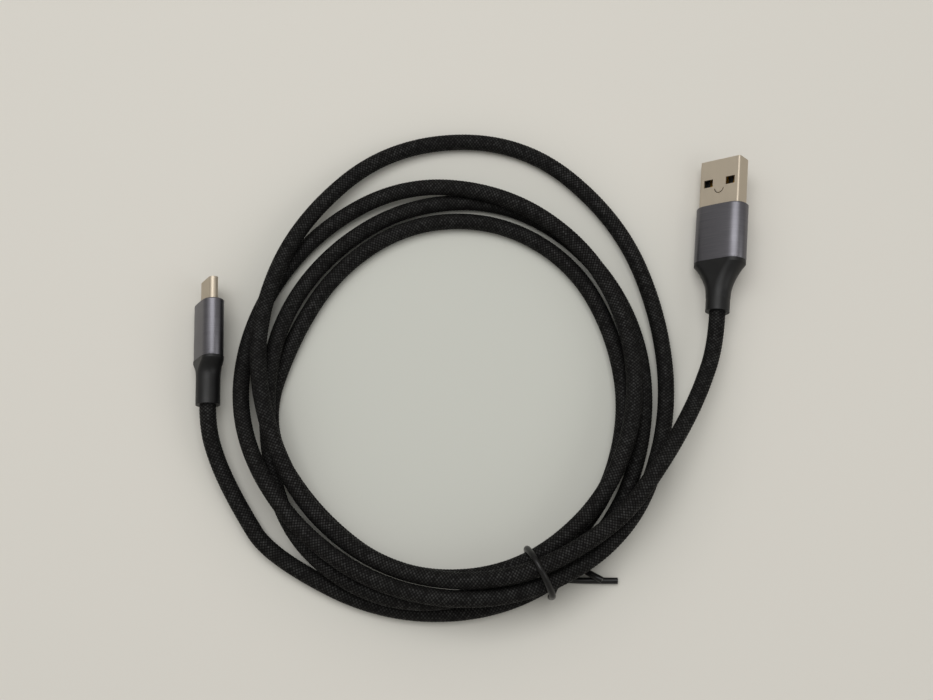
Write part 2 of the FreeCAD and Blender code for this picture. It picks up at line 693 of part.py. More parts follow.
def shell_a():
    """The folded steel shell, with its latch windows, crescent cut and seam."""
    blank = doc.addObject("PartDesign::Body", "a_shell_blank")
    outside = ("a_shell_width", "a_shell_height", "a_shell_corner")
    pad(blank, rounded_sketch(blank, "a_shell_outside", *outside, A_SHELL_START), "a_shell_length")
    pocket(blank, rounded_sketch(blank, "a_shell_inside", *A_INNER, A_SHELL_START), "a_shell_length")
    windows = [
        box(f"a_window_{k}", "a_window_width", "2 * a_shell_height", "a_window_length",
            f"{A_TIP} - a_window_setback - a_window_length / 2", x=f"{sign} * a_window_spacing / 2")
        for k, sign in enumerate((-1, 1))
    ]
    through = "4 * a_shell_wall"
    seam = box("a_seam", "a_seam_width", through, "a_shell_length", A_SHELL_START, y="a_shell_height / 2")
    face, centre = "-1 * a_shell_height / 2", f"{A_TIP} - a_lance_setback"
    disc = across_y("a_lance_disc", "2 * a_lance_radius", "3 * a_shell_wall", face, centre)
    left = "2 * a_lance_radius - 2 * a_lance_slit"
    island = across_y("a_lance_island", left, through, face, centre)
    upper = box("a_lance_upper", "4 * a_lance_radius", through, "2 * a_lance_radius", centre, y=face)
    lance = cut_from("a_lance", disc, [island, upper])
    keep(cut_from("a_shell_cut", blank, windows + [seam, lance]), "usb_a_shell", FRAME_A)


def insulator_a():
    """The block inside the shell and the tongue that carries the contacts."""
    width = f"{A_INNER[0]} - 2 * slip_gap"
    base_start = f"{A_SHELL_START} + a_base_inset"
    base = doc.addObject("PartDesign::Body", "a_base")
    outline = rounded_sketch(base, "a_base_outline", width, f"{A_INNER[1]} - 2 * slip_gap",
                             f"{A_INNER[2]} - slip_gap", base_start)
    pad(base, outline, "a_base_length")
    reach = f"{A_TIP} - a_tongue_setback - ( {base_start} )"
    tongue = box("a_tongue", f"{width} - 2 * a_tongue_relief", "a_tongue_thickness", reach, base_start,
                 y=f"{A_CONTACT_FACE} + a_tongue_thickness / 2")
    solid = doc.addObject("Part::MultiFuse", "a_insulator_blank")
    solid.Shapes = [base, tongue]
    solid.Refine = True
    depth = "a_contact_thickness + slip_gap"
    slots = [
        box(f"a_slot_{row}_{k}", "a_contact_width + 2 * slip_gap", depth, "a_base_length", base_start,
            x=f"{sign} * a_{row}_spacing / 2", y=f"{A_CONTACT_FACE} - ( {depth} ) / 2")
        for row in ("power", "data")
        for k, sign in enumerate((-1, 1))
    ]
    keep(cut_from("a_insulator_cut", solid, slots), "usb_a_insulator", FRAME_A)


def contacts_a(label, spacing, setback):
    """Two equal contacts, from their solder tails to their ends on the tongue."""
    start = f"{A_SHELL_START} - a_tail_length"
    length = f"{A_TIP} - {setback} - ( {start} )"
    joined(label, FRAME_A, [
        box(f"{label}_{k}", "a_contact_width", "a_contact_thickness", length, start,
            x=f"{sign} * {spacing} / 2", y=A_CONTACT_Y)
        for k, sign in enumerate((-1, 1))
    ])


def wire_a(wire, x, diameter):
    """One insulated wire, from the stripped core to its contact's tail."""
    y = value(f"{A_CONTACT_FACE} - a_contact_thickness - slip_gap - {diameter} / 2")
    end = Vector(value(x), y, value(f"{A_SHELL_START} - 4 * slip_gap"))
    return wire_between(core_spot(wire, value(A_CORE_END)), end, size(diameter))


shell_a()
insulator_a()
contacts_a("usb_a_power_contacts", "a_power_spacing", "a_power_setback")
contacts_a("usb_a_data_contacts", "a_data_spacing", "a_data_setback")
shape_piece("usb_a_power_wire", wire_a("power", "-1 * a_power_spacing / 2", "power_wire_diameter"), FRAME_A)
shape_piece("usb_a_ground_wire", wire_a("ground", "a_power_spacing / 2", "power_wire_diameter"), FRAME_A)
shape_piece("usb_a_data_wires", Part.makeCompound([
    wire_a("minus", "-1 * a_data_spacing / 2", "data_wire_diameter"),
    wire_a("plus", "a_data_spacing / 2", "data_wire_diameter"),
]), FRAME_A)

# Side C: shell, insulator, contacts, latch, springs, board, can and wires

C_CAN_ROOM = ("c_can_width + 2 * slip_gap", "c_can_height + 2 * slip_gap", "c_can_corner + slip_gap")
C_SHELL_START, C_CORE_END = plug_casing("c", FRAME_C, C_CAN_ROOM)
C_TIP = "c_boot_length + c_housing_length + c_shell_exposed"
C_INNER = ("c_shell_width - 2 * c_shell_wall", "c_shell_height - 2 * c_shell_wall",
           "c_shell_corner - c_shell_wall")
C_INSULATOR_START = f"{C_SHELL_START} + c_insulator_inset"
C_INSULATOR_HALF = f"( {C_INNER[1]} ) / 2 - slip_gap"
C_PIN_Y = "( c_board_thickness + c_pin_thickness ) / 2"
C_CAN_START = f"{C_CORE_END} + c_can_setback"
C_BOARD_START = f"{C_CAN_START} + c_can_wall + c_board_setback"
C_BOARD_END = f"{C_SHELL_START} - 8 * slip_gap"
C_BOARD_LENGTH = f"{C_BOARD_END} - ( {C_BOARD_START} )"
C_LATCH_START = f"{C_INSULATOR_START} + c_insulator_inset"
C_LATCH_X = "c_cavity_width / 2 - slip_gap - c_latch_arm_width / 2"
C_SPRING_START = f"{C_TIP} - c_spring_setback - c_spring_length"


def insulator_c():
    """The black insert: open in front, with slots for the contacts, latch and springs."""
    blank = doc.addObject("PartDesign::Body", "c_insulator_blank")
    outside = (f"{C_INNER[0]} - 2 * slip_gap", f"{C_INNER[1]} - 2 * slip_gap", f"{C_INNER[2]} - slip_gap")
    length = "c_shell_length - 2 * c_insulator_inset"
    pad(blank, rounded_sketch(blank, "c_insulator_outside", *outside, C_INSULATOR_START), length)
    cavity = ("c_cavity_width", "c_cavity_height", "c_cavity_corner")
    mouth = f"{C_TIP} - c_insulator_inset"
    bottom = f"{mouth} - c_cavity_depth"
    pocket(blank, rounded_sketch(blank, "c_cavity", *cavity, bottom), "c_cavity_depth")
    through = f"{bottom} - ( {C_INSULATOR_START} )"
    slots = [
        box(f"c_slot_{side}_{k}", "c_pin_width + 2 * slip_gap", "c_pin_thickness + 2 * slip_gap", through,
            C_INSULATOR_START, x=f"{pin} * c_pin_pitch", y=f"{sign} * {C_PIN_Y}")
        for side, sign, pins in (("upper", 1, C_UPPER_PINS), ("lower", -1, C_LOWER_PINS))
        for k, pin in enumerate(pins)
    ]
    plate = "c_latch_plate + 2 * slip_gap"
    slots.append(box("c_slot_plate", "c_cavity_width", plate, through, C_INSULATOR_START))
    slots += [
        box(f"c_slot_arm_{k}", "c_latch_arm_width + 2 * slip_gap", "c_latch_arm_height + 2 * slip_gap",
            through, C_INSULATOR_START, x=f"{sign} * ( {C_LATCH_X} )")
        for k, sign in enumerate((-1, 1))
    ]
    slots += [
        box(f"c_recess_{k}", "c_spring_width + 2 * slip_gap", "c_spring_thickness + slip_gap",
            "c_spring_length + 2 * slip_gap", f"{C_SPRING_START} - slip_gap",
            y=f"{sign} * ( {C_INSULATOR_HALF} - ( c_spring_thickness + slip_gap ) / 2 )")
        for k, sign in enumerate((-1, 1))
    ]
    keep(cut_from("c_insulator_cut", blank, slots), "usb_c_insulator", FRAME_C)


def contacts_c(label, pins, sign):
    """One row of contacts, from their tails on the board to their ends in the opening."""
    start = f"{C_BOARD_END} - c_tail_length"
    joined(label, FRAME_C, [
        box(f"{label}_{k}", "c_pin_width", "c_pin_thickness", f"{C_TIP} - c_pin_setback - ( {start} )", start,
            x=f"{pin} * c_pin_pitch", y=f"{sign} * {C_PIN_Y}")
        for k, pin in enumerate(pins)
    ])


def latch_c():
    """The steel latch: a middle plate between the rows and an arm at each side."""
    plate = box("c_plate", "c_cavity_width - 2 * slip_gap", "c_latch_plate",
                "c_cavity_depth / 4", C_LATCH_START)
    arms = [
        box(f"c_arm_{k}", "c_latch_arm_width", "c_latch_arm_height",
            f"{C_TIP} - c_latch_setback - ( {C_LATCH_START} )", C_LATCH_START, x=f"{sign} * ( {C_LATCH_X} )")
        for k, sign in enumerate((-1, 1))
    ]
    joined("usb_c_latch", FRAME_C, [plate] + arms)


def springs_c():
    """The two earthing springs, seated in the insulator under the shell."""
    joined("usb_c_emi_springs", FRAME_C, [
        box(f"c_spring_{k}", "c_spring_width", "c_spring_thickness", "c_spring_length", C_SPRING_START,
            y=f"{sign} * ( {C_INSULATOR_HALF} - c_spring_thickness / 2 )")
        for k, sign in enumerate((-1, 1))
    ])


def can_c():
    """The shield can round the board, with an opening for the wires."""
    body = new_body("usb_c_shield_can", FRAME_C)
    length = f"{C_SHELL_START} - ( {C_CAN_START} )"
    outside = ("c_can_width", "c_can_height", "c_can_corner")
    inside = ("c_can_width - 2 * c_can_wall", "c_can_height - 2 * c_can_wall", "c_can_corner - c_can_wall")
    pad(body, rounded_sketch(body, "c_can_outside", *outside, C_CAN_START), length)
    pocket(body, rounded_sketch(body, "c_can_inside", *inside, f"{C_CAN_START} + c_can_wall"), length)
    window = ("c_window_width", "c_window_height", "c_can_corner")
    pocket(body, rounded_sketch(body, "c_can_window", *window, C_CAN_START), length)


def board_c():
    """The small circuit board that the contacts' tails straddle."""
    body = new_body("usb_c_circuit_board", FRAME_C)
    section = ("c_board_width", "c_board_thickness", "slip_gap")
    pad(body, rounded_sketch(body, "c_board_outline", *section, C_BOARD_START), C_BOARD_LENGTH)


def resistor_c():
    """A chip resistor: a ceramic block with a metal cap over each end."""
    start = f"{C_BOARD_START} + ( {C_BOARD_LENGTH} ) / 4"
    y = "-1 * ( c_board_thickness + c_resistor_height ) / 2"
    chip = box("c_chip", "c_resistor_width - 2 * slip_gap", "c_resistor_height", "c_resistor_length", start,
               x="c_resistor_offset", y=y)
    caps = [
        box(f"c_cap_{k}", "c_resistor_width", "c_resistor_height", "c_resistor_length / 4",
            f"{start} + {k} * 3 * c_resistor_length / 4", x="c_resistor_offset", y=y)
        for k in (0, 1)
    ]
    joined("usb_c_resistor", FRAME_C, [chip] + caps)


def wire_c(wire, x, sign, diameter):
    """One insulated wire, from the stripped core to its pad on the board."""
    y = sign * value(f"c_board_thickness / 2 + slip_gap + {diameter} / 2")
    end = Vector(x, y, value(f"{C_BOARD_START} + ( {C_BOARD_LENGTH} ) / 4"))
    return wire_between(core_spot(wire, value(C_CORE_END)), end, size(diameter))


sleeve("usb_c_shell", FRAME_C, ("c_shell_width", "c_shell_height", "c_shell_corner"), C_INNER,
       C_SHELL_START, "c_shell_length")
insulator_c()
contacts_c("usb_c_upper_contacts", C_UPPER_PINS, 1)
contacts_c("usb_c_lower_contacts", C_LOWER_PINS, -1)
latch_c()
springs_c()
can_c()
board_c()
resistor_c()
pad_spread = size("power_wire_diameter") + size("core_diameter") / 4
shape_piece("usb_c_power_wire", wire_c("power", -pad_spread, 1, "power_wire_diameter"), FRAME_C)
shape_piece("usb_c_ground_wire", wire_c("ground", pad_spread, 1, "power_wire_diameter"), FRAME_C)
shape_piece("usb_c_data_wires", Part.makeCompound([
    wire_c("minus", -size("data_wire_diameter"), -1, "data_wire_diameter"),
    wire_c("plus", size("data_wire_diameter"), -1, "data_wire_diameter"),
]), FRAME_C)

# The cord: coil and its two leads, then the tie round the bundle

cord = size("cord_diameter")
path, (start_a, onward_a), (end_c, onward_c) = coil_wire()
coil_points = path.discretize(Distance=1.0)
print(f"coil length {path.Length:.0f} mm, least gap to itself {least_gap(coil_points, 1.0, cord):.2f} mm")
coil = tube_on(path, cord)
span = coil.BoundBox.DiagonalLength
under = Part.makeBox(2 * span, 2 * span, cord, Vector(-span, -span, -cord))
shape_piece("cord_coil", coil.cut(under), LAYOUT)

for label, frame, route, end, toward in (
    ("cord_lead_a", FRAME_A, ROUTE_A, start_a, -onward_a),
    ("cord_lead_c", FRAME_C, ROUTE_C, end_c, onward_c),
):
    plug_exit, axis = frame.Base, frame.Rotation.multVec(Vector(0, 0, 1))
    points = [plug_exit, plug_exit - axis * PLUG_RUN] + [Vector(*p) for p in route]
    points += [end + toward * COIL_RUN, end]
    lead, used = rounded_route(points)
    print(label, f"length {lead.Length:.1f} mm, bend radii", " ".join(f"{r:.0f}" for r in used))
    shape_piece(label, tube_on(lead, cord), LAYOUT)

tie_points, tie_radii = tie_route(coil_points)
tie_path, used = rounded_route(tie_points, tie_radii)
print("tie length", f"{tie_path.Length:.1f} mm, bend radii", " ".join(f"{r:.1f}" for r in used))
bore = size("tie_core_diameter")
shape_piece("tie_cover", tube_on(tie_path, size("tie_diameter"), bore + 2 * size("slip_gap")), LAYOUT)
shape_piece("tie_wire", tube_on(tie_path, bore), LAYOUT)

# Place everything on the object's origin, test it and write it out

doc.recompute()
plugs = FreeCAD.BoundBox()
for label, (obj, frame) in pieces.items():
    if label.startswith("usb_"):
        plugs.add(obj.Shape.transformed(frame.toMatrix()).optimalBoundingBox(False))
shift = Placement(Vector(-plugs.Center.x, -plugs.Center.y, 0), Rotation())
print(f"layout shifted by {shift.Base.x:.3f}, {shift.Base.y:.3f}")
for obj, frame in pieces.values():
    obj.Placement = shift.multiply(frame)
doc.recompute()

faults = [f"{obj.Name}: {obj.State}" for obj in doc.Objects if {"Invalid", "Error"} & set(obj.State)]
for label, (obj, _) in pieces.items():
    if obj.Shape.isNull() or not obj.Shape.isValid() or not obj.Shape.Solids:
        faults.append(f"{label}: no valid solid")
if faults:
    raise RuntimeError("; ".join(faults))

os.makedirs("parts", exist_ok=True)
for label, (obj, _) in sorted(pieces.items()):
    obj.Shape.exportStep(f"parts/{label}.step")
    solids = obj.Shape.Solids
    print(f"{label}: {len(solids)} solid(s), {sum(s.Volume for s in solids):.1f} mm3")
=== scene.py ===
"""Looks of a coiled, braided charging cable with two metal plugs.

The cable lies flat on a pale floor. Lengths in the classes are millimetres in the layout that
the part was drawn in, and `place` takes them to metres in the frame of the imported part.
"""

from __future__ import annotations

import logging
import math
from collections.abc import Callable, Iterable, Sequence
from dataclasses import dataclass, field
from enum import Enum
from typing import Any

import bmesh
import bpy
from mathutils import Matrix, Vector

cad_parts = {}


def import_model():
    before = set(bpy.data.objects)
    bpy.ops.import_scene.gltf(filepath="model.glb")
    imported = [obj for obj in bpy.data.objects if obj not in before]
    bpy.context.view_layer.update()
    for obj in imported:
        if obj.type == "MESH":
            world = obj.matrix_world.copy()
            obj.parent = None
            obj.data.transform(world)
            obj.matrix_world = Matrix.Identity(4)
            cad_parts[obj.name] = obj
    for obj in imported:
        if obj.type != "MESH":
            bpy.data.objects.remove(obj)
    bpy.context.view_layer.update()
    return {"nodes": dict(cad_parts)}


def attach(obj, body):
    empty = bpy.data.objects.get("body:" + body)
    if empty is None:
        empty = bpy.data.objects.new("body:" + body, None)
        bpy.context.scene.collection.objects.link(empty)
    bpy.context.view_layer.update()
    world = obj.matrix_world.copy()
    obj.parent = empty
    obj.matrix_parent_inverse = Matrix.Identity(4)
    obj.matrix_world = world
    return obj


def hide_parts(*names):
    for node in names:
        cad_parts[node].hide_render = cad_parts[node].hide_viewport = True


LOG = logging.getLogger("charging_cable")
MM = 0.001
LAYOUT_SHIFT = Vector((-1.725, -17.325, 0.0))
COIL_MIDDLE = (-3.0, -7.8)
# the plugs' axes, in degrees clockwise from +Y
WIDE_HEADING, OVAL_HEADING = 5.5, -2.0


def place(x: float, y: float, z: float) -> Vector:
    """A layout point in millimetres as a point of the part in metres."""
    return (Vector((x, y, z)) + LAYOUT_SHIFT) * MM


def linear(colour: str) -> tuple[float, float, float, float]:
    """Turn an sRGB hex colour into linear RGBA.

    Args:
        colour: Six hex digits, with or without a leading hash.

    Returns:
        Red, green, blue and an alpha of one.
    """
    digits = colour.lstrip("#")
    parts = [int(digits[k:k + 2], 16) / 255 for k in (0, 2, 4)]
    red, green, blue = (c / 12.92 if c <= 0.04045 else ((c + 0.055) / 1.055) ** 2.4
                        for c in parts)
    return red, green, blue, 1.0


def add_node(tree: bpy.types.NodeTree, kind: str, inputs: dict[Any, Any] | None = None,
             **settings: Any) -> bpy.types.Node:
    """Add a shader node.

    Args:
        tree: The node tree that takes it.
        kind: The node's type name.
        inputs: Socket name or index to a value or to another node's output.
        settings: Properties of the node itself.

    Returns:
        The new node.
    """
    node = tree.nodes.new(kind)
    for name, setting in settings.items():
        setattr(node, name, setting)
    for socket, source in (inputs or {}).items():
        if isinstance(source, bpy.types.NodeSocket):
            tree.links.new(source, node.inputs[socket])
        else:
            node.inputs[socket].default_value = source
    return node


def blank_material(name: str) -> tuple[bpy.types.Material, bpy.types.NodeTree, bpy.types.Node]:
    """A new material with one surface shader, its tree and that shader."""
    material = bpy.data.materials.new(name)
    material.use_nodes = True
    material.node_tree.nodes.clear()
    shader = add_node(material.node_tree, "ShaderNodeBsdfPrincipled")
    add_node(material.node_tree, "ShaderNodeOutputMaterial", {"Surface": shader.outputs[0]})
    return material, material.node_tree, shader


# Finishes


@dataclass(frozen=True)
class GrainedMetal:
    """A bare, plated or anodised metal with a fine grain and a slow smear in its gloss.

    Attributes:
        name: Material name.
        colour: sRGB colour of the metal's reflection.
        shade: sRGB colour of its dimmer grain.
        roughness: Lowest and highest roughness over the surface.
        grain_mm: Size of the grain across the plug, along its axis and upward.
        heading: Direction of that axis, in degrees clockwise from +Y.
        depth_mm: Depth of the grain.
        smear_mm: Size of the smears in its gloss.
    """

    name: str
    colour: str
    shade: str
    roughness: tuple[float, float]
    grain_mm: tuple[float, float, float]
    heading: float = 0.0
    depth_mm: float = 0.002
    smear_mm: float = 6.0

    def build(self) -> bpy.types.Material:
        """Make the material."""
        material, tree, shader = blank_material(self.name)
        shader.inputs["Metallic"].default_value = 1.0
        spots = add_node(tree, "ShaderNodeTexCoord")
        drawn = add_node(tree, "ShaderNodeMapping",
                         {"Vector": spots.outputs["Object"],
                          "Rotation": (0.0, 0.0, -math.radians(self.heading)),
                          "Scale": tuple(size * MM for size in self.grain_mm)},
                         vector_type="TEXTURE")
        grain = add_node(tree, "ShaderNodeTexNoise",
                         {"Vector": drawn.outputs[0], "Scale": 1.0, "Detail": 3.0})
        smear = add_node(tree, "ShaderNodeTexNoise",
                         {"Vector": spots.outputs["Object"], "Scale": 1 / (self.smear_mm * MM),
                          "Detail": 4.0})
        both = add_node(tree, "ShaderNodeMath", {0: grain.outputs["Fac"], 1: smear.outputs["Fac"]},
                        operation="MULTIPLY")
        gloss = add_node(tree, "ShaderNodeMapRange",
                         {"Value": both.outputs[0], "From Min": 0.12, "From Max": 0.40,
                          "To Min": self.roughness[0], "To Max": self.roughness[1]})
        tint = add_node(tree, "ShaderNodeMix",
                        {0: grain.outputs["Fac"], 6: linear(self.shade), 7: linear(self.colour)},
                        data_type="RGBA")
        bump = add_node(tree, "ShaderNodeBump",
                        {"Height": grain.outputs["Fac"], "Distance": self.depth_mm * MM,
                         "Strength": 1.0})
        tree.links.new(tint.outputs[2], shader.inputs["Base Color"])
        tree.links.new(gloss.outputs[0], shader.inputs["Roughness"])
        tree.links.new(bump.outputs[0], shader.inputs["Normal"])
        return material


@dataclass(frozen=True)
class MouldedPlastic:
    """A moulded plastic or rubber, with the faint orange peel of its mould and some dust.

    Attributes:
        name: Material name.
        colour: sRGB colour.
        dust: sRGB colour of its paler, worn patches.
        roughness: Lowest and highest roughness over the surface.
        ior: Index of refraction.
        peel_mm: Size of the orange peel.
        depth_mm: Depth of the orange peel.
        specular: Level of its mirror-like reflection, where 0.5 is the usual one.
        wear_mm: Size of its worn patches.
    """

    name: str
    colour: str
    dust: str
    roughness: tuple[float, float]
    ior: float = 1.5
    peel_mm: float = 0.35
    depth_mm: float = 0.004
    specular: float = 0.5
    wear_mm: float = 3.0

    def build(self) -> bpy.types.Material:
        """Make the material."""
        material, tree, shader = blank_material(self.name)
        shader.inputs["IOR"].default_value = self.ior
        shader.inputs["Specular IOR Level"].default_value = self.specular
        spots = add_node(tree, "ShaderNodeTexCoord")
        peel = add_node(tree, "ShaderNodeTexNoise",
                        {"Vector": spots.outputs["Object"], "Scale": 1 / (self.peel_mm * MM),
                         "Detail": 2.0})
        worn = add_node(tree, "ShaderNodeTexNoise",
                        {"Vector": spots.outputs["Object"], "Scale": 1 / (self.wear_mm * MM),
                         "Detail": 6.0, "Roughness": 0.65})
        patch = add_node(tree, "ShaderNodeMapRange",
                         {"Value": worn.outputs["Fac"], "From Min": 0.45, "From Max": 0.75})
        tint = add_node(tree, "ShaderNodeMix",
                        {0: patch.outputs[0], 6: linear(self.colour), 7: linear(self.dust)},
                        data_type="RGBA")
        gloss = add_node(tree, "ShaderNodeMapRange",
                         {"Value": worn.outputs["Fac"], "From Min": 0.3, "From Max": 0.7,
                          "To Min": self.roughness[0], "To Max": self.roughness[1]})
        bump = add_node(tree, "ShaderNodeBump",
                        {"Height": peel.outputs["Fac"], "Distance": self.depth_mm * MM,
                         "Strength": 1.0})
        tree.links.new(tint.outputs[2], shader.inputs["Base Color"])
        tree.links.new(gloss.outputs[0], shader.inputs["Roughness"])
        tree.links.new(bump.outputs[0], shader.inputs["Normal"])
        return material


@dataclass(frozen=True)
class BraidedYarn:
    """Braided polyester yarn, one strand over and one under, on a map of the strands.

    The map's two numbers count the strands of each family, so each whole square of it is one
    crossing. Each strand is a flat bundle of filaments, so it gleams a little along its crown
    and is dark where it dives under its neighbour; the colour carries both, as a painted
    highlight on the tops and painted shade in the gaps. The gleam, with its painted highlight,
    differs from crossing to crossing and over a few millimetres, as it does where handling has
    flattened some strands.

    Attributes:
        name: Material name.
        crown: sRGB colour of a strand's top, a painted highlight where it gleams most.
        shaded_valley: sRGB colour between the strands, painted shade where they dive under each
            other.
        relief_mm: Height of a strand over the gaps beside it.
        filaments: Visible filament bundles across one strand.
        filament_share: Depth between those bundles, as a share of the relief.
        patch_mm: Size of the patches where the gleam is stronger or weaker.
        map_name: The UV map that holds the strand numbers.
    """

    name: str = "braided_polyester"
    crown: str = "#242423"
    shaded_valley: str = "#0e0d0d"
    relief_mm: float = 0.10
    filaments: int = 4
    filament_share: float = 0.06
    patch_mm: float = 3.0
    map_name: str = "strands"

    def build(self) -> bpy.types.Material:
        """Make the material."""
        material, tree, shader = blank_material(self.name)
        shader.inputs["IOR"].default_value = 1.55
        strands = add_node(tree, "ShaderNodeUVMap", uv_map=self.map_name)
        pair = add_node(tree, "ShaderNodeSeparateXYZ", {0: strands.outputs[0]})
        shares, numbers, crowns = [], [], []
        for socket in (pair.outputs[0], pair.outputs[1]):
            share = add_node(tree, "ShaderNodeMath", {0: socket}, operation="FRACT")
            number = add_node(tree, "ShaderNodeMath", {0: socket}, operation="FLOOR")
            angle = add_node(tree, "ShaderNodeMath", {0: share.outputs[0], 1: math.pi},
                             operation="MULTIPLY")
            crown = add_node(tree, "ShaderNodeMath", {0: angle.outputs[0]}, operation="SINE")
            shares.append(share.outputs[0])
            numbers.append(number.outputs[0])
            crowns.append(crown.outputs[0])
        # the strand on top at a crossing: the first family's where the two numbers add up to even
        total = add_node(tree, "ShaderNodeMath", {0: numbers[0], 1: numbers[1]}, operation="ADD")
        second = add_node(tree, "ShaderNodeMath", {0: total.outputs[0], 1: 2.0},
                          operation="FLOORED_MODULO")
        across = add_node(tree, "ShaderNodeMix", {0: second.outputs[0], 2: crowns[0], 3: crowns[1]})
        along = add_node(tree, "ShaderNodeMix", {0: second.outputs[0], 2: crowns[1], 3: crowns[0]})
        inward = add_node(tree, "ShaderNodeMix", {0: second.outputs[0], 2: shares[0], 3: shares[1]})
        round_top = add_node(tree, "ShaderNodeMath", {0: across.outputs[0], 1: 0.75},
                             operation="POWER")
        long_top = add_node(tree, "ShaderNodeMath", {0: along.outputs[0], 1: 0.5},
                            operation="POWER")
        height = add_node(tree, "ShaderNodeMath",
                          {0: round_top.outputs[0], 1: long_top.outputs[0]}, operation="MULTIPLY")
        turns = add_node(tree, "ShaderNodeMath",
                         {0: inward.outputs[0], 1: 2 * math.pi * self.filaments},
                         operation="MULTIPLY")
        wave = add_node(tree, "ShaderNodeMath", {0: turns.outputs[0]}, operation="COSINE")
        surface = add_node(tree, "ShaderNodeMath",
                           {0: wave.outputs[0], 1: -self.filament_share, 2: height.outputs[0]},
                           operation="MULTIPLY_ADD")
        spots = add_node(tree, "ShaderNodeTexCoord")
        # patches where the gleam, and the painted highlight in the colour, is stronger or weaker
        handled_gleam = add_node(tree, "ShaderNodeTexNoise",
                           {"Vector": spots.outputs["Object"], "Scale": 1 / (self.patch_mm * MM),
                            "Detail": 5.0, "Roughness": 0.75})
        patch = add_node(tree, "ShaderNodeMapRange",
                         {"Value": handled_gleam.outputs["Fac"], "From Min": 0.35, "From Max": 0.65,
                          "To Min": 0.6, "To Max": 1.1})
        crossing = add_node(tree, "ShaderNodeCombineXYZ", {0: numbers[0], 1: numbers[1]})
        chance = add_node(tree, "ShaderNodeTexWhiteNoise", {"Vector": crossing.outputs[0]},
                          noise_dimensions="2D")
        # per crossing, the gleam and its painted highlight are stronger or weaker
        flat = add_node(tree, "ShaderNodeMapRange",
                        {"Value": chance.outputs["Value"], "From Min": 0.0, "From Max": 1.0,
                         "To Min": 0.45, "To Max": 1.35})
        raised = add_node(tree, "ShaderNodeMath", {0: height.outputs[0], 1: 1.4},
                          operation="POWER")
        shown = add_node(tree, "ShaderNodeMath", {0: raised.outputs[0], 1: patch.outputs[0]},
                         operation="MULTIPLY")
        level = add_node(tree, "ShaderNodeMath", {0: shown.outputs[0], 1: flat.outputs[0]},
                         operation="MULTIPLY")
        # painted shade and painted highlight: the colour is darker in the gaps between strands and
        # lighter on a strand's gleaming top
        tint = add_node(tree, "ShaderNodeMix",
                        {0: level.outputs[0], 6: linear(self.shaded_valley), 7: linear(self.crown)},
                        data_type="RGBA")
        gloss = add_node(tree, "ShaderNodeMapRange",
                         {"Value": level.outputs[0], "From Min": 0.0, "From Max": 1.0,
                          "To Min": 0.75, "To Max": 0.45})
        glint = add_node(tree, "ShaderNodeMapRange",
                         {"Value": level.outputs[0], "From Min": 0.1, "From Max": 1.0,
                          "To Min": 0.02, "To Max": 0.2})
        bump = add_node(tree, "ShaderNodeBump",
                        {"Height": surface.outputs[0], "Distance": self.relief_mm * MM,
                         "Strength": 0.7})
        tree.links.new(tint.outputs[2], shader.inputs["Base Color"])
        tree.links.new(gloss.outputs[0], shader.inputs["Roughness"])
        tree.links.new(glint.outputs[0], shader.inputs["Specular IOR Level"])
        tree.links.new(bump.outputs[0], shader.inputs["Normal"])
        return material


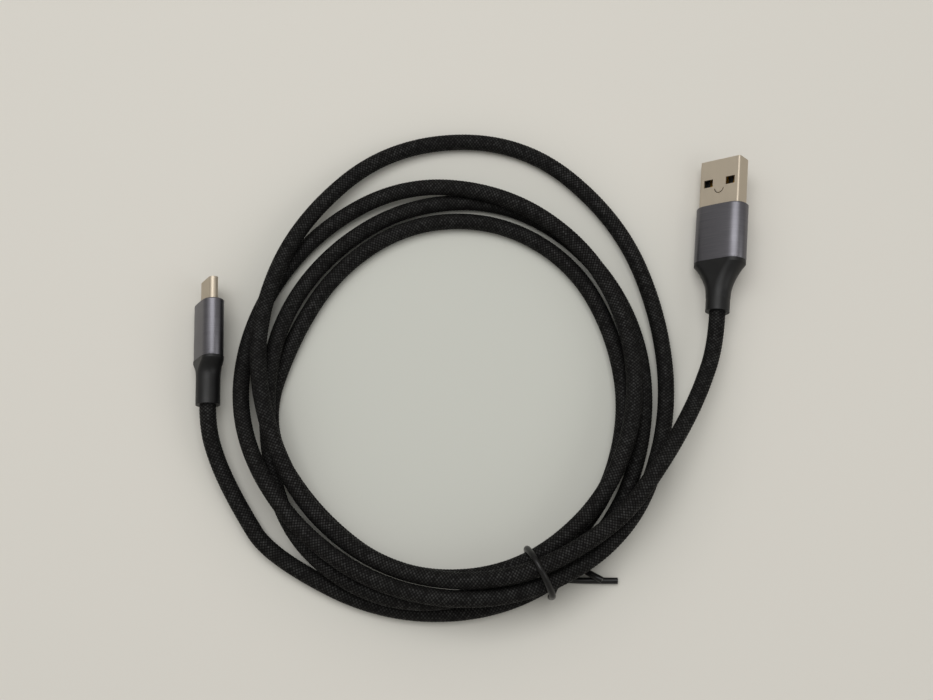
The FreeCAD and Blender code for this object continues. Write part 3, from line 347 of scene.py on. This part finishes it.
class Finish(Enum):
    """Every finish on the cable, named for the real material."""

    # braided yarn: matt and nearly black, with a small glint where a strand lies on top. The
    # strands are drawn as wide as they need to be to show.
    YARN = BraidedYarn()
    # brush lines round the sleeve under dark grey anodising: a satin gleam that runs along the
    # plug, with a faint violet cast. The lines are drawn coarser than real ones, so that they show.
    BRUSHED_WIDE = GrainedMetal("brushed_aluminium_wide", "#76757a", "#5d5c61", (0.34, 0.44),
                                (9.0, 0.22, 9.0), WIDE_HEADING)
    BRUSHED_OVAL = GrainedMetal("brushed_aluminium_oval", "#76757a", "#5d5c61", (0.34, 0.44),
                                (9.0, 0.22, 9.0), OVAL_HEADING)
    # nickel over folded steel: a warm satin, almost even, with very faint lines along the plug
    NICKEL = GrainedMetal("nickel_plated_steel", "#c8bdac", "#c1b6a5", (0.50, 0.58),
                          (0.8, 14.0, 0.8), 3.0, 0.0002)
    # tin over thin steel: a paler, softer gleam with small clouds in it
    TINNED = GrainedMetal("tinned_steel", "#cfcdc8", "#b5b3ae", (0.28, 0.45), (0.2, 0.2, 0.2))
    # rolled spring strip: bright, with fine lines along the strip
    SPRING = GrainedMetal("stainless_spring_steel", "#c9c6c0", "#b3b0aa", (0.22, 0.35),
                          (0.1, 0.4, 0.1))
    # a flash of gold on stamped brass: a warm, clear gleam
    GOLD = GrainedMetal("gold_flashed_brass", "#e2bd6a", "#cda85a", (0.18, 0.30),
                        (0.1, 0.3, 0.1), 0.0, 0.001)
    # drawn iron wire, cut across: a small grey end in the black cover
    IRON = GrainedMetal("bare_iron_wire", "#b9b6b0", "#9d9a94", (0.30, 0.45), (0.1, 0.1, 0.1))
    # thermoplastic elastomer, moulded on: black with a broad, faint gleam
    ELASTOMER = MouldedPlastic("soft_elastomer", "#0c0c0d", "#131313", (0.40, 0.52), 1.48,
                               0.30, 0.004, 0.35)
    # moulded nylon: black and half matt
    INSERT = MouldedPlastic("black_polyamide", "#101011", "#19191a", (0.40, 0.55))
    # uncoloured moulding that fills a plug: milky and dull
    NATURAL = MouldedPlastic("natural_polypropylene", "#c9c6bb", "#bdb9ac", (0.45, 0.6))
    # extruded vinyl under the braid: dull dark grey
    JACKET = MouldedPlastic("vinyl_jacket", "#19191b", "#232325", (0.45, 0.6))
    # extruded vinyl over wire: smooth, with one soft bright line where it turns to the light
    TIE = MouldedPlastic("vinyl_covered_wire", "#0c0b0b", "#141312", (0.28, 0.36), 1.52,
                         0.5, 0.002, 0.28)
    # coloured vinyl on the wires: even and slightly shiny
    RED = MouldedPlastic("red_vinyl", "#a3201c", "#8f1a17", (0.35, 0.5))
    BLACK = MouldedPlastic("black_vinyl", "#141414", "#1d1d1d", (0.35, 0.5))
    GREEN = MouldedPlastic("green_vinyl", "#2f8a3c", "#277532", (0.35, 0.5))
    # lacquer over the board's copper: deep green and glossy
    BOARD = MouldedPlastic("solder_mask", "#15512c", "#1a5f34", (0.25, 0.35), 1.55, 0.4, 0.002)
    # fired body of a small resistor: near black, half matt
    CERAMIC = MouldedPlastic("resistor_ceramic", "#26262a", "#303034", (0.35, 0.5))

    def material(self) -> bpy.types.Material:
        """The finish's material, made on first use."""
        return bpy.data.materials.get(self.value.name) or self.value.build()


def dress(obj: bpy.types.Object, finish: Finish) -> None:
    """Give every slot of an object one finish."""
    if not obj.material_slots:
        obj.data.materials.append(finish.material())
    for slot in obj.material_slots:
        slot.material = finish.material()


def new_piece(name: str, mesh: bmesh.types.BMesh, finish: Finish,
              smooth_below: float = 35.0) -> bpy.types.Object:
    """Turn a bmesh into a piece that rides on the part.

    Args:
        name: The piece's name.
        mesh: The bmesh, in metres in the part's frame. It is freed.
        finish: The piece's finish.
        smooth_below: Angle in degrees under which an edge is shaded smooth.

    Returns:
        The new object, at the origin.
    """
    bmesh.ops.recalc_face_normals(mesh, faces=mesh.faces)
    for face in mesh.faces:
        face.smooth = True
    for edge in mesh.edges:
        edge.smooth = edge.calc_face_angle(0.0) < math.radians(smooth_below)
    data = bpy.data.meshes.new(name)
    mesh.to_mesh(data)
    mesh.free()
    obj = bpy.data.objects.new(name, data)
    bpy.context.scene.collection.objects.link(obj)
    dress(obj, finish)
    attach(obj, "root")
    return obj


# Cords and wires


def smooth_line(name: str, points: Sequence[Vector]) -> bpy.types.Object:
    """A curve object whose one NURBS spline has these control points."""
    data = bpy.data.curves.new(name, "CURVE")
    data.dimensions = "3D"
    data.resolution_u = 48
    spline = data.splines.new("NURBS")
    spline.points.add(len(points) - 1)
    for knot, point in zip(spline.points, points):
        knot.co = (*point, 1.0)
    spline.order_u = 3
    spline.use_endpoint_u = True
    obj = bpy.data.objects.new(name, data)
    bpy.context.scene.collection.objects.link(obj)
    return obj


def line_points(points: Sequence[Vector]) -> list[Vector]:
    """Points read from the smooth line through a route's control points."""
    guide = smooth_line("guide", points)
    bpy.context.view_layer.update()
    mesh = bpy.data.meshes.new_from_object(guide)
    found = [vertex.co.copy() for vertex in mesh.vertices]
    curve = guide.data
    bpy.data.objects.remove(guide)
    bpy.data.curves.remove(curve)
    bpy.data.meshes.remove(mesh)
    return found


@dataclass
class Walk:
    """Even steps along a line, each with its direction and a side that doesn't twist.

    Attributes:
        line: Points of the line.
        step: Wanted length of a step.
    """

    line: list[Vector]
    step: float
    length: float = field(init=False)
    count: int = field(init=False)
    spots: list[tuple[Vector, Vector, Vector]] = field(init=False)

    def __post_init__(self) -> None:
        """Measure the line and lay out its frames."""
        reached = [0.0]
        for before, after in zip(self.line, self.line[1:]):
            reached.append(reached[-1] + (after - before).length)
        self.length = reached[-1]
        self.count = max(2, round(self.length / self.step))
        middles, k = [], 0
        for n in range(self.count + 1):
            wanted = self.length * n / self.count
            while k < len(reached) - 2 and reached[k + 1] < wanted:
                k += 1
            share = (wanted - reached[k]) / max(reached[k + 1] - reached[k], 1e-12)
            middles.append(self.line[k].lerp(self.line[k + 1], min(max(share, 0.0), 1.0)))
        side = Vector((0.0, 0.0, 1.0))
        self.spots = []
        for n, middle in enumerate(middles):
            onward = (middles[min(n + 1, self.count)] - middles[max(n - 1, 0)]).normalized()
            side = (side - onward * side.dot(onward)).normalized()
            self.spots.append((middle, side.copy(), onward.cross(side)))


def tube(walk: Walk, around: int, radius_at: Callable[[int, int], float], map_name: str = "",
         per_step: float = 0.5) -> bmesh.types.BMesh:
    """A closed tube along a walk, shaped from a grid.

    Args:
        walk: The path.
        around: Number of faces round the tube.
        radius_at: Takes a step and a place round the tube, and gives the radius in metres.
        map_name: Name of a UV map for the strand numbers, or nothing for no map.
        per_step: Strand crossings per step, for that map.

    Returns:
        The tube.
    """
    mesh = bmesh.new()
    bmesh.ops.create_grid(mesh, x_segments=walk.count, y_segments=around, size=0.5)
    places = {}
    for vertex in mesh.verts:
        step = round((vertex.co.x + 0.5) * walk.count)
        spoke = round((vertex.co.y + 0.5) * around)
        places[vertex] = (step, spoke)
        middle, side, other = walk.spots[step]
        angle = 2 * math.pi * spoke / around
        radius = radius_at(step, spoke)
        vertex.co = middle + (side * math.cos(angle) + other * math.sin(angle)) * radius
    if map_name:
        layer = mesh.loops.layers.uv.new(map_name)
        for face in mesh.faces:
            for loop in face.loops:
                step, spoke = places[loop.vert]
                loop[layer].uv = ((step + spoke) * per_step, (step - spoke) * per_step)
    bmesh.ops.remove_doubles(mesh, verts=mesh.verts, dist=1e-6)
    rims = [edge for edge in mesh.edges if edge.is_boundary]
    bmesh.ops.holes_fill(mesh, edges=rims, sides=around)
    return mesh


def plain_tube(line: list[Vector], diameter: float, step: float, around: int) -> bmesh.types.BMesh:
    """A smooth round tube along a line, with its diameter and steps in millimetres."""
    return tube(Walk(line, step * MM), around, lambda *_: diameter / 2 * MM)


@dataclass
class Cord:
    """The one braided cord, from plug to plug through its four loose turns.

    Attributes:
        diameter: Outside of the braid.
        centre: Middle of the coil.
        first_angle: Where the first hour mark of each turn stands, in degrees.
        hour: Angle between marks, in degrees.
        turns: Distance from the middle and height at each mark, clockwise, turn by turn.
        lead_a: Route from the wide plug to the coil, seen in the photograph.
        lead_c: Route from the small plug to the coil.
        plug_runs: Straight run out of the wide plug and of the small one.
        strands: Strands in each of the braid's two families.
        crossing: Distance between crossings along the cord.
        groove: How far the gaps between strands lie below the crowns.
    """

    diameter: float = 4.25
    centre: tuple[float, float] = COIL_MIDDLE
    first_angle: float = 315.0
    hour: float = 30.0
    turns: tuple[tuple[tuple[float, float], ...], ...] = (
        ((54.4, 14.0), (53.9, 14.6), (52.1, 11.4), (49.7, 8.2), (48.1, 12.0), (50.9, 8.9),
         (56.6, 5.4), (64.7, 2.3), (66.1, 2.15), (59.3, 2.15), (54.1, 2.15), (54.5, 3.5)),
        ((58.1, 9.0), (58.0, 11.6), (56.4, 11.4), (54.7, 10.4), (54.8, 9.2), (53.9, 2.15),
         (52.8, 2.15), (52.9, 3.7), (49.0, 7.1), (46.6, 6.9), (45.2, 6.9), (46.0, 8.4)),
        ((48.7, 10.0), (51.9, 10.4), (52.0, 6.2), (48.7, 2.15), (49.6, 2.15), (42.1, 2.15),
         (41.4, 2.15), (42.5, 2.15), (42.9, 2.15), (42.4, 2.15), (41.6, 2.15), (44.3, 3.4)),
        ((49.4, 4.7), (54.6, 5.2), (59.6, 8.2), (57.4, 4.1), (48.2, 7.6), (46.4, 5.1),
         (46.2, 2.15), (47.4, 2.15), (48.6, 2.15), (47.6, 2.15), (47.7, 2.15), (49.3, 3.4)),
        ((54.4, 4.9), (58.9, 3.9), (61.0, 2.15), (62.9, 2.15)),
    )
    lead_a: tuple[tuple[float, float, float], ...] = (
        (59.6, -11.9, 7.6), (54.6, -21.5, 10.6), (48.2, -31.9, 13.2))
    lead_c: tuple[tuple[float, float, float], ...] = (
        (-62.4, -31.5, 3.9), (-56.8, -42.0, 2.6))
    plug_runs: tuple[float, float] = (9.0, 6.0)
    strands: int = 12
    crossing: float = 0.87
    groove: float = 0.10

    def coil_points(self) -> list[Vector]:
        """Control points of the turns: a line pulled inside its corners, so they stand out more."""
        pull = 0.75 + 0.25 * math.cos(math.radians(self.hour))
        marks = [mark for turn in self.turns for mark in turn]
        points = []
        for k, (radius, height) in enumerate(marks):
            angle = math.radians(self.first_angle - self.hour * k)
            out = radius / pull
            points.append(place(self.centre[0] + out * math.cos(angle),
                                self.centre[1] + out * math.sin(angle), height))
        return points

    def route(self, exit_a: Vector, axis_a: Vector, exit_c: Vector, axis_c: Vector) -> list[Vector]:
        """Control points of the whole cord.

        Args:
            exit_a: Where the cord leaves the wide plug.
            axis_a: That plug's direction, towards its tip.
            exit_c: Where the cord leaves the small plug.
            axis_c: That plug's direction, towards its tip.

        Returns:
            The points, from the wide plug to the small one.
        """
        run_a, run_c = (run * MM for run in self.plug_runs)
        points = [exit_a, exit_a - axis_a * run_a] + [place(*spot) for spot in self.lead_a]
        points += self.coil_points()
        points += [place(*spot) for spot in reversed(self.lead_c)]
        return points + [exit_c - axis_c * run_c, exit_c]

    def build(self, plug_a: Plug, plug_c: Plug) -> bpy.types.Object:
        """Args:
            plug_a: The wide plug.
            plug_c: The small plug.

        Returns:
            The braided tube.
        """
        route = self.route(plug_a.exit(), plug_a.axis(), plug_c.exit(), plug_c.axis())
        walk = Walk(line_points(route), self.crossing * MM / 2)
        crown = self.diameter / 2 * MM
        groove = self.groove * MM

        def radius_at(step: int, spoke: int) -> float:
            """The crown over a strand's middle, and the groove where four strands meet."""
            return crown if (step + spoke) % 2 else crown - groove

        mesh = tube(walk, 2 * self.strands, radius_at, BraidedYarn.map_name)
        cord = new_piece("cord", mesh, Finish.YARN, smooth_below=80.0)
        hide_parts("cord_coil", "cord_lead_a", "cord_lead_c")
        return cord


@dataclass
class WireTie:
    """A covered wire bent once round the bundle, with its two ends crossed beside it.

    Attributes:
        diameter: Outside of the cover.
        core: Bare wire inside it.
        centre: Middle of the coil.
        angle: Where the tie stands round the coil, in degrees.
        cords: Outermost cords that it goes over, as distance from the middle and height.
        stand_off: Tie's middle from those cords' middles.
        lean: Way along the cords for each millimetre inward of the last of them.
        short_end: From its tip, the short end, as distance from the middle, way along the cords
            and height.
        long_end: The long end up to its tip, in the same terms.
        stub: How far the bare wire stands out of each cut end.
    """

    diameter: float = 1.6
    core: float = 0.7
    centre: tuple[float, float] = COIL_MIDDLE
    angle: float = 292.8
    cords: tuple[tuple[float, float], ...] = (
        (53.0, 5.3), (51.0, 10.0), (53.9, 14.3), (58.6, 10.8), (57.9, 4.1))
    stand_off: float = 2.95
    lean: float = -0.09
    short_end: tuple[tuple[float, float, float], ...] = (
        (62.0, 13.6, 2.8), (60.6, 12.4, 2.75), (59.0, 11.4, 1.6), (57.4, 10.2, 1.05),
        (56.0, 8.4, 1.0), (55.0, 5.0, 1.0), (54.0, 1.8, 1.2), (51.2, 0.2, 1.8))
    long_end: tuple[tuple[float, float, float], ...] = (
        (60.9, 0.5, 1.9), (58.8, 2.4, 0.95), (58.2, 5.2, 0.95), (59.6, 8.0, 0.95),
        (61.6, 12.6, 0.95), (63.6, 17.3, 0.95))
    stub: float = 0.08

    def spot(self, out: float, along: float, height: float) -> Vector:
        """A point given by its distance from the coil's middle, way along the cords and height."""
        angle = math.radians(self.angle)
        x = self.centre[0] + out * math.cos(angle) - along * math.sin(angle)
        y = self.centre[1] + out * math.sin(angle) + along * math.cos(angle)
        return place(x, y, height)

    def bend(self) -> list[tuple[float, float, float]]:
        """Points over the cords: each straight run between two cords, moved off them."""
        points = []
        for (out, height), (next_out, next_height) in zip(self.cords, self.cords[1:]):
            share = self.stand_off / math.hypot(next_out - out, next_height - height)
            side, rise = (height - next_height) * share, (next_out - out) * share
            points += [(out + side, height + rise), (next_out + side, next_height + rise)]
        last = points[-1][0]
        return [(out, self.lean * (last - out), height) for out, height in points]

    def build(self) -> list[bpy.types.Object]:
        """Make the cover and the wire that shows at its two cut ends."""
        spots = (*self.short_end, *self.bend(), *self.long_end)
        line = line_points([self.spot(*spot) for spot in spots])
        cover = new_piece("tie_sleeve", plain_tube(line, self.diameter, 0.35, 20), Finish.TIE)
        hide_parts("tie_cover")
        first, last = (line[0] - line[1]).normalized(), (line[-1] - line[-2]).normalized()
        longer = [line[0] + first * self.stub * MM] + line + [line[-1] + last * self.stub * MM]
        core = new_piece("tie_core", plain_tube(longer, self.core, 0.6, 12), Finish.IRON)
        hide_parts("tie_wire")
        return [cover, core]


# Plugs


@dataclass(frozen=True)
class Outline:
    """A rectangle with round corners at one height of a plug, in millimetres.

    Attributes:
        width: Across the plug.
        height: Through it.
        corner: Radius of its corners.
        z: Distance from the cord's exit along the plug.
        crown: Share of the height that its two sides lack, so that the wide faces arch a little.
    """

    width: float
    height: float
    corner: float
    z: float
    crown: float = 0.0

    def smaller(self, inset: float, z: float) -> Outline:
        """The same outline set in from its edge, at another height."""
        corner = max(self.corner - inset, 0.05)
        return Outline(self.width - 2 * inset, self.height - 2 * inset, corner, z, self.crown)

    def draw(self, mesh: bmesh.types.BMesh, segments: int = 10,
             steps: int = 9) -> list[bmesh.types.BMEdge]:
        """Draw the outline into a bmesh.

        Args:
            mesh: The bmesh that takes it.
            segments: Steps of each corner.
            steps: Cuts of each wide side.

        Returns:
            Its edges.
        """
        grid = bmesh.ops.create_grid(mesh, x_segments=1, y_segments=1, size=0.5 * MM,
                                     matrix=Matrix.Translation((0.0, 0.0, self.z * MM)))
        points = grid["verts"]
        bmesh.ops.scale(mesh, vec=(self.width, self.height, 1.0), verts=points)
        face = points[0].link_faces[0]
        before = {edge for edge in mesh.edges if edge not in face.edges}
        bmesh.ops.bevel(mesh, geom=points, offset=self.corner * MM, offset_type="OFFSET",
                        affect="VERTICES", segments=segments, profile=0.5, material=-1,
                        clamp_overlap=True)
        edges = [edge for edge in mesh.edges if edge not in before]
        faces = {f for edge in edges for f in edge.link_faces}
        bmesh.ops.delete(mesh, geom=list(faces), context="FACES_ONLY")
        straight = (self.width - 2 * self.corner) * MM
        wide = [edge for edge in edges
                if abs(edge.verts[0].co.x - edge.verts[1].co.x) > 0.9 * straight]
        bmesh.ops.subdivide_edges(mesh, edges=wide, cuts=steps)
        edges = [edge for edge in mesh.edges if edge not in before]
        for vertex in {v for edge in edges for v in edge.verts}:
            vertex.co.y *= 1 - self.crown * (vertex.co.x / (0.5 * self.width * MM)) ** 2
        return edges


def ring_of_outlines(outlines: Iterable[Outline]) -> bmesh.types.BMesh:
    """A closed skin through outlines in order, the last joined back to the first."""
    mesh = bmesh.new()
    loops = [outline.draw(mesh) for outline in outlines]
    for k, loop in enumerate(loops):
        bmesh.ops.bridge_loops(mesh, edges=loop + loops[(k + 1) % len(loops)])
    return mesh


@dataclass
class Plug:
    """One plug: where it stands, its aluminium housing and the finishes of its pieces.

    Attributes:
        side: Letter of the plug in the part's node names.
        slot: Material slot of its housing; not used.
        exit_spot: Where the cord leaves it.
        heading: Its axis, in degrees clockwise from +Y.
        roll: Tilt of its wide face from the floor, in degrees.
        boot: Length of its strain relief.
        housing: Width, height, corner, wall and length of its housing.
        mouth: Width, height and corner of the housing's front opening.
        metal: Finish of the housing.
        finishes: Finish of each other node.
        crown: Share of the height by which the wide faces arch.
        inner_corner: Corner of the room inside it, which clears the shell.
        rim: Width of the cut bevel at the housing's two ends.
        lip: Width of the bevel round its front opening.
    """

    side: str
    slot: str
    exit_spot: tuple[float, float, float]
    heading: float
    roll: float
    boot: float
    housing: tuple[float, float, float, float, float]
    mouth: tuple[float, float, float]
    metal: Finish
    finishes: dict[str, Finish]
    crown: float = 0.12
    inner_corner: float = 1.8
    rim: float = 0.3
    lip: float = 0.12

    @property
    def housing_name(self) -> str:
        """Name of the housing's piece."""
        return f"usb_{self.side}_sleeve"

    def exit(self) -> Vector:
        """Where the cord leaves, in metres."""
        return place(*self.exit_spot)

    def axis(self) -> Vector:
        """The plug's direction, from the cord to its tip."""
        heading = math.radians(self.heading)
        return Vector((math.sin(heading), math.cos(heading), 0.0))

    def frame(self) -> Matrix:
        """The plug's own frame in the part: x across its wide face, y through it, z its axis."""
        axis, roll = self.axis(), math.radians(self.roll)
        right = Vector((axis.y, -axis.x, 0.0))
        across = right * math.cos(roll) + Vector((0.0, 0.0, math.sin(roll)))
        turn = Matrix((across, axis.cross(across), axis)).transposed().to_4x4()
        return Matrix.Translation(self.exit()) @ turn

    def build_housing(self) -> bpy.types.Object:
        """The sleeve, with its bevelled rims and the wall round its front opening."""
        width, height, corner, wall, length = self.housing
        back, front = self.boot, self.boot + length
        full = Outline(width, height, corner, back, self.crown)
        opening = Outline(*self.mouth, front)
        inner = Outline(width - 2 * wall, height - 2 * wall, self.inner_corner, back)
        ease = self.rim / 3
        mesh = ring_of_outlines([
            full.smaller(self.rim, back),
            full.smaller(ease, back + 0.15 * self.rim),
            full.smaller(0.0, back + self.rim),
            full.smaller(0.0, front - self.rim),
            full.smaller(ease, front - 0.4 * self.rim),
            full.smaller(self.rim, front),
            opening.smaller(-self.lip, front),
            opening.smaller(0.0, front - self.lip),
            opening.smaller(0.0, front - wall),
            inner.smaller(0.0, front - wall),
            inner,
        ])
        bmesh.ops.transform(mesh, matrix=self.frame(), verts=mesh.verts)
        housing = new_piece(self.housing_name, mesh, self.metal, smooth_below=28.0)
        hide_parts(f"usb_{self.side}_housing")
        return housing

    def build(self, nodes: dict[str, bpy.types.Object]) -> None:
        """Make the housing and dress the plug's other pieces."""
        self.build_housing()
        for name, finish in self.finishes.items():
            dress(nodes[f"usb_{self.side}_{name}"], finish)
            LOG.info("dressed usb_%s_%s", self.side, name)


SHARED_FINISHES = {
    "strain_relief": Finish.ELASTOMER, "shell": Finish.NICKEL, "inner_mould": Finish.NATURAL,
    "cable_end": Finish.JACKET, "crimp": Finish.TINNED, "power_wire": Finish.RED,
    "ground_wire": Finish.BLACK, "data_wires": Finish.GREEN, "insulator": Finish.INSERT,
}

WIDE_PLUG = Plug(
    side="a", slot="anodised_a", exit_spot=(64.8, 8.5, 6.082), heading=WIDE_HEADING, roll=41.0,
    boot=13.5, housing=(14.6, 6.8, 3.1, 0.8, 15.4), mouth=(12.1, 4.6, 0.65),
    metal=Finish.BRUSHED_WIDE,
    finishes=SHARED_FINISHES | {"power_contacts": Finish.GOLD, "data_contacts": Finish.GOLD},
)

OVAL_PLUG = Plug(
    side="c", slot="anodised_c", exit_spot=(-65.7, -16.0, 5.665), heading=OVAL_HEADING,
    roll=61.0, boot=12.0, housing=(12.0, 5.8, 2.75, 0.7, 15.05), mouth=(8.35, 2.5, 1.2),
    metal=Finish.BRUSHED_OVAL,
    finishes=SHARED_FINISHES | {
        "upper_contacts": Finish.GOLD, "lower_contacts": Finish.GOLD, "latch": Finish.SPRING,
        "emi_springs": Finish.SPRING, "circuit_board": Finish.BOARD, "resistor": Finish.CERAMIC,
        "shield_can": Finish.TINNED,
    },
)


# The studio


@dataclass
class Studio:
    """Floor, lamps and camera.

    Attributes:
        tilt: Camera's height over the floor, in degrees.
        distance: Camera to the middle of the picture.
        lens: Focal length for a sensor 36 mm wide.
        outer: Floor's colour far from the coil.
        inner: Floor's colour inside the coil, a little greener, and darker as painted shade of the
            turns round it.
        fade: Where the floor's colour starts to change and where it ends, from the coil's middle.
        room: Colour of the room.
        room_level: Brightness of the room.
        lamps: Name, place in metres, size in metres and power in watts of each lamp.
    """

    tilt: float = 75.0
    distance: float = 350.0
    lens: float = 51.72
    outer: str = "#d4d1ca"
    inner: str = "#c4c5be"
    fade: tuple[float, float] = (30.0, 85.0)
    room: str = "#cfcdc8"
    room_level: float = 0.66
    lamps: tuple[tuple[str, tuple[float, float, float], float, float], ...] = (
        ("lamp_over", (-0.06, 0.15, 0.75), 0.60, 3.1),
        ("lamp_left", (-0.50, 0.18, 0.75), 0.60, 0.9),
        ("lamp_right", (0.75, -0.25, 0.60), 0.50, 1.2),
    )

    def build_floor(self) -> None:
        """A wide pale floor that fades a little darker inside the coil."""
        mesh = bmesh.new()
        bmesh.ops.create_grid(mesh, x_segments=1, y_segments=1, size=1.5,
                              matrix=Matrix.Translation((0.0, 0.0, -0.05 * MM)))
        data = bpy.data.meshes.new("floor")
        mesh.to_mesh(data)
        mesh.free()
        floor = bpy.data.objects.new("floor", data)
        bpy.context.scene.collection.objects.link(floor)
        material, tree, shader = blank_material("painted_floor")
        spots = add_node(tree, "ShaderNodeTexCoord")
        middle = place(*COIL_MIDDLE, 0.0)
        away = add_node(tree, "ShaderNodeVectorMath",
                        {0: spots.outputs["Object"], 1: tuple(middle)}, operation="DISTANCE")
        share = add_node(tree, "ShaderNodeMapRange",
                         {"Value": away.outputs["Value"], "From Min": self.fade[0] * MM,
                          "From Max": self.fade[1] * MM},
                         interpolation_type="SMOOTHSTEP")
        # painted shade: the floor fades darker and a little greener inside the coil
        tint = add_node(tree, "ShaderNodeMix",
                        {0: share.outputs[0], 6: linear(self.inner), 7: linear(self.outer)},
                        data_type="RGBA")
        tree.links.new(tint.outputs[2], shader.inputs["Base Color"])
        shader.inputs["Roughness"].default_value = 0.9
        shader.inputs["Specular IOR Level"].default_value = 0.1
        floor.data.materials.append(material)

    def build_lamps(self) -> None:
        """One lamp overhead that gleams along the plugs, a fill from each side and a pale room."""
        for name, spot, size, power in self.lamps:
            data = bpy.data.lights.new(name, "AREA")
            data.shape = "SQUARE"
            data.size = size
            data.energy = power
            lamp = bpy.data.objects.new(name, data)
            lamp.location = spot
            lamp.rotation_euler = (-Vector(spot)).to_track_quat("-Z", "Y").to_euler()
            bpy.context.scene.collection.objects.link(lamp)
        world = bpy.data.worlds.new("pale_room")
        world.use_nodes = True
        background = world.node_tree.nodes["Background"]
        background.inputs[0].default_value = linear(self.room)
        background.inputs[1].default_value = self.room_level
        bpy.context.scene.world = world

    def build_camera(self) -> None:
        """The photograph's camera: high over the front of the cable."""
        tilt = math.radians(self.tilt)
        aim = place(0.0, 0.0, 0.0)
        spot = aim + Vector((0.0, -math.cos(tilt), math.sin(tilt))) * self.distance * MM
        data = bpy.data.cameras.new("camera")
        data.sensor_fit = "HORIZONTAL"
        data.sensor_width = 36.0
        data.lens = self.lens
        data.clip_start, data.clip_end = 0.01, 10.0
        camera = bpy.data.objects.new("camera", data)
        camera.location = spot
        camera.rotation_euler = (aim - spot).to_track_quat("-Z", "Y").to_euler()
        bpy.context.scene.collection.objects.link(camera)
        bpy.context.scene.camera = camera

    def build(self) -> None:
        """Make the whole studio."""
        self.build_floor()
        self.build_lamps()
        self.build_camera()
        bpy.context.scene.view_settings.view_transform = "Standard"


def main() -> None:
    """Build the studio, dress the frame and make the pieces in order."""
    logging.basicConfig(level=logging.INFO, format="%(name)s: %(message)s")
    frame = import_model()
    Studio().build()
    WIDE_PLUG.build(frame["nodes"])
    OVAL_PLUG.build(frame["nodes"])
    cord = Cord().build(WIDE_PLUG, OVAL_PLUG)
    LOG.info("made %s with %d faces", cord.name, len(cord.data.polygons))
    for piece in WireTie().build():
        LOG.info("made %s", piece.name)


if __name__ == "__main__":
    main()
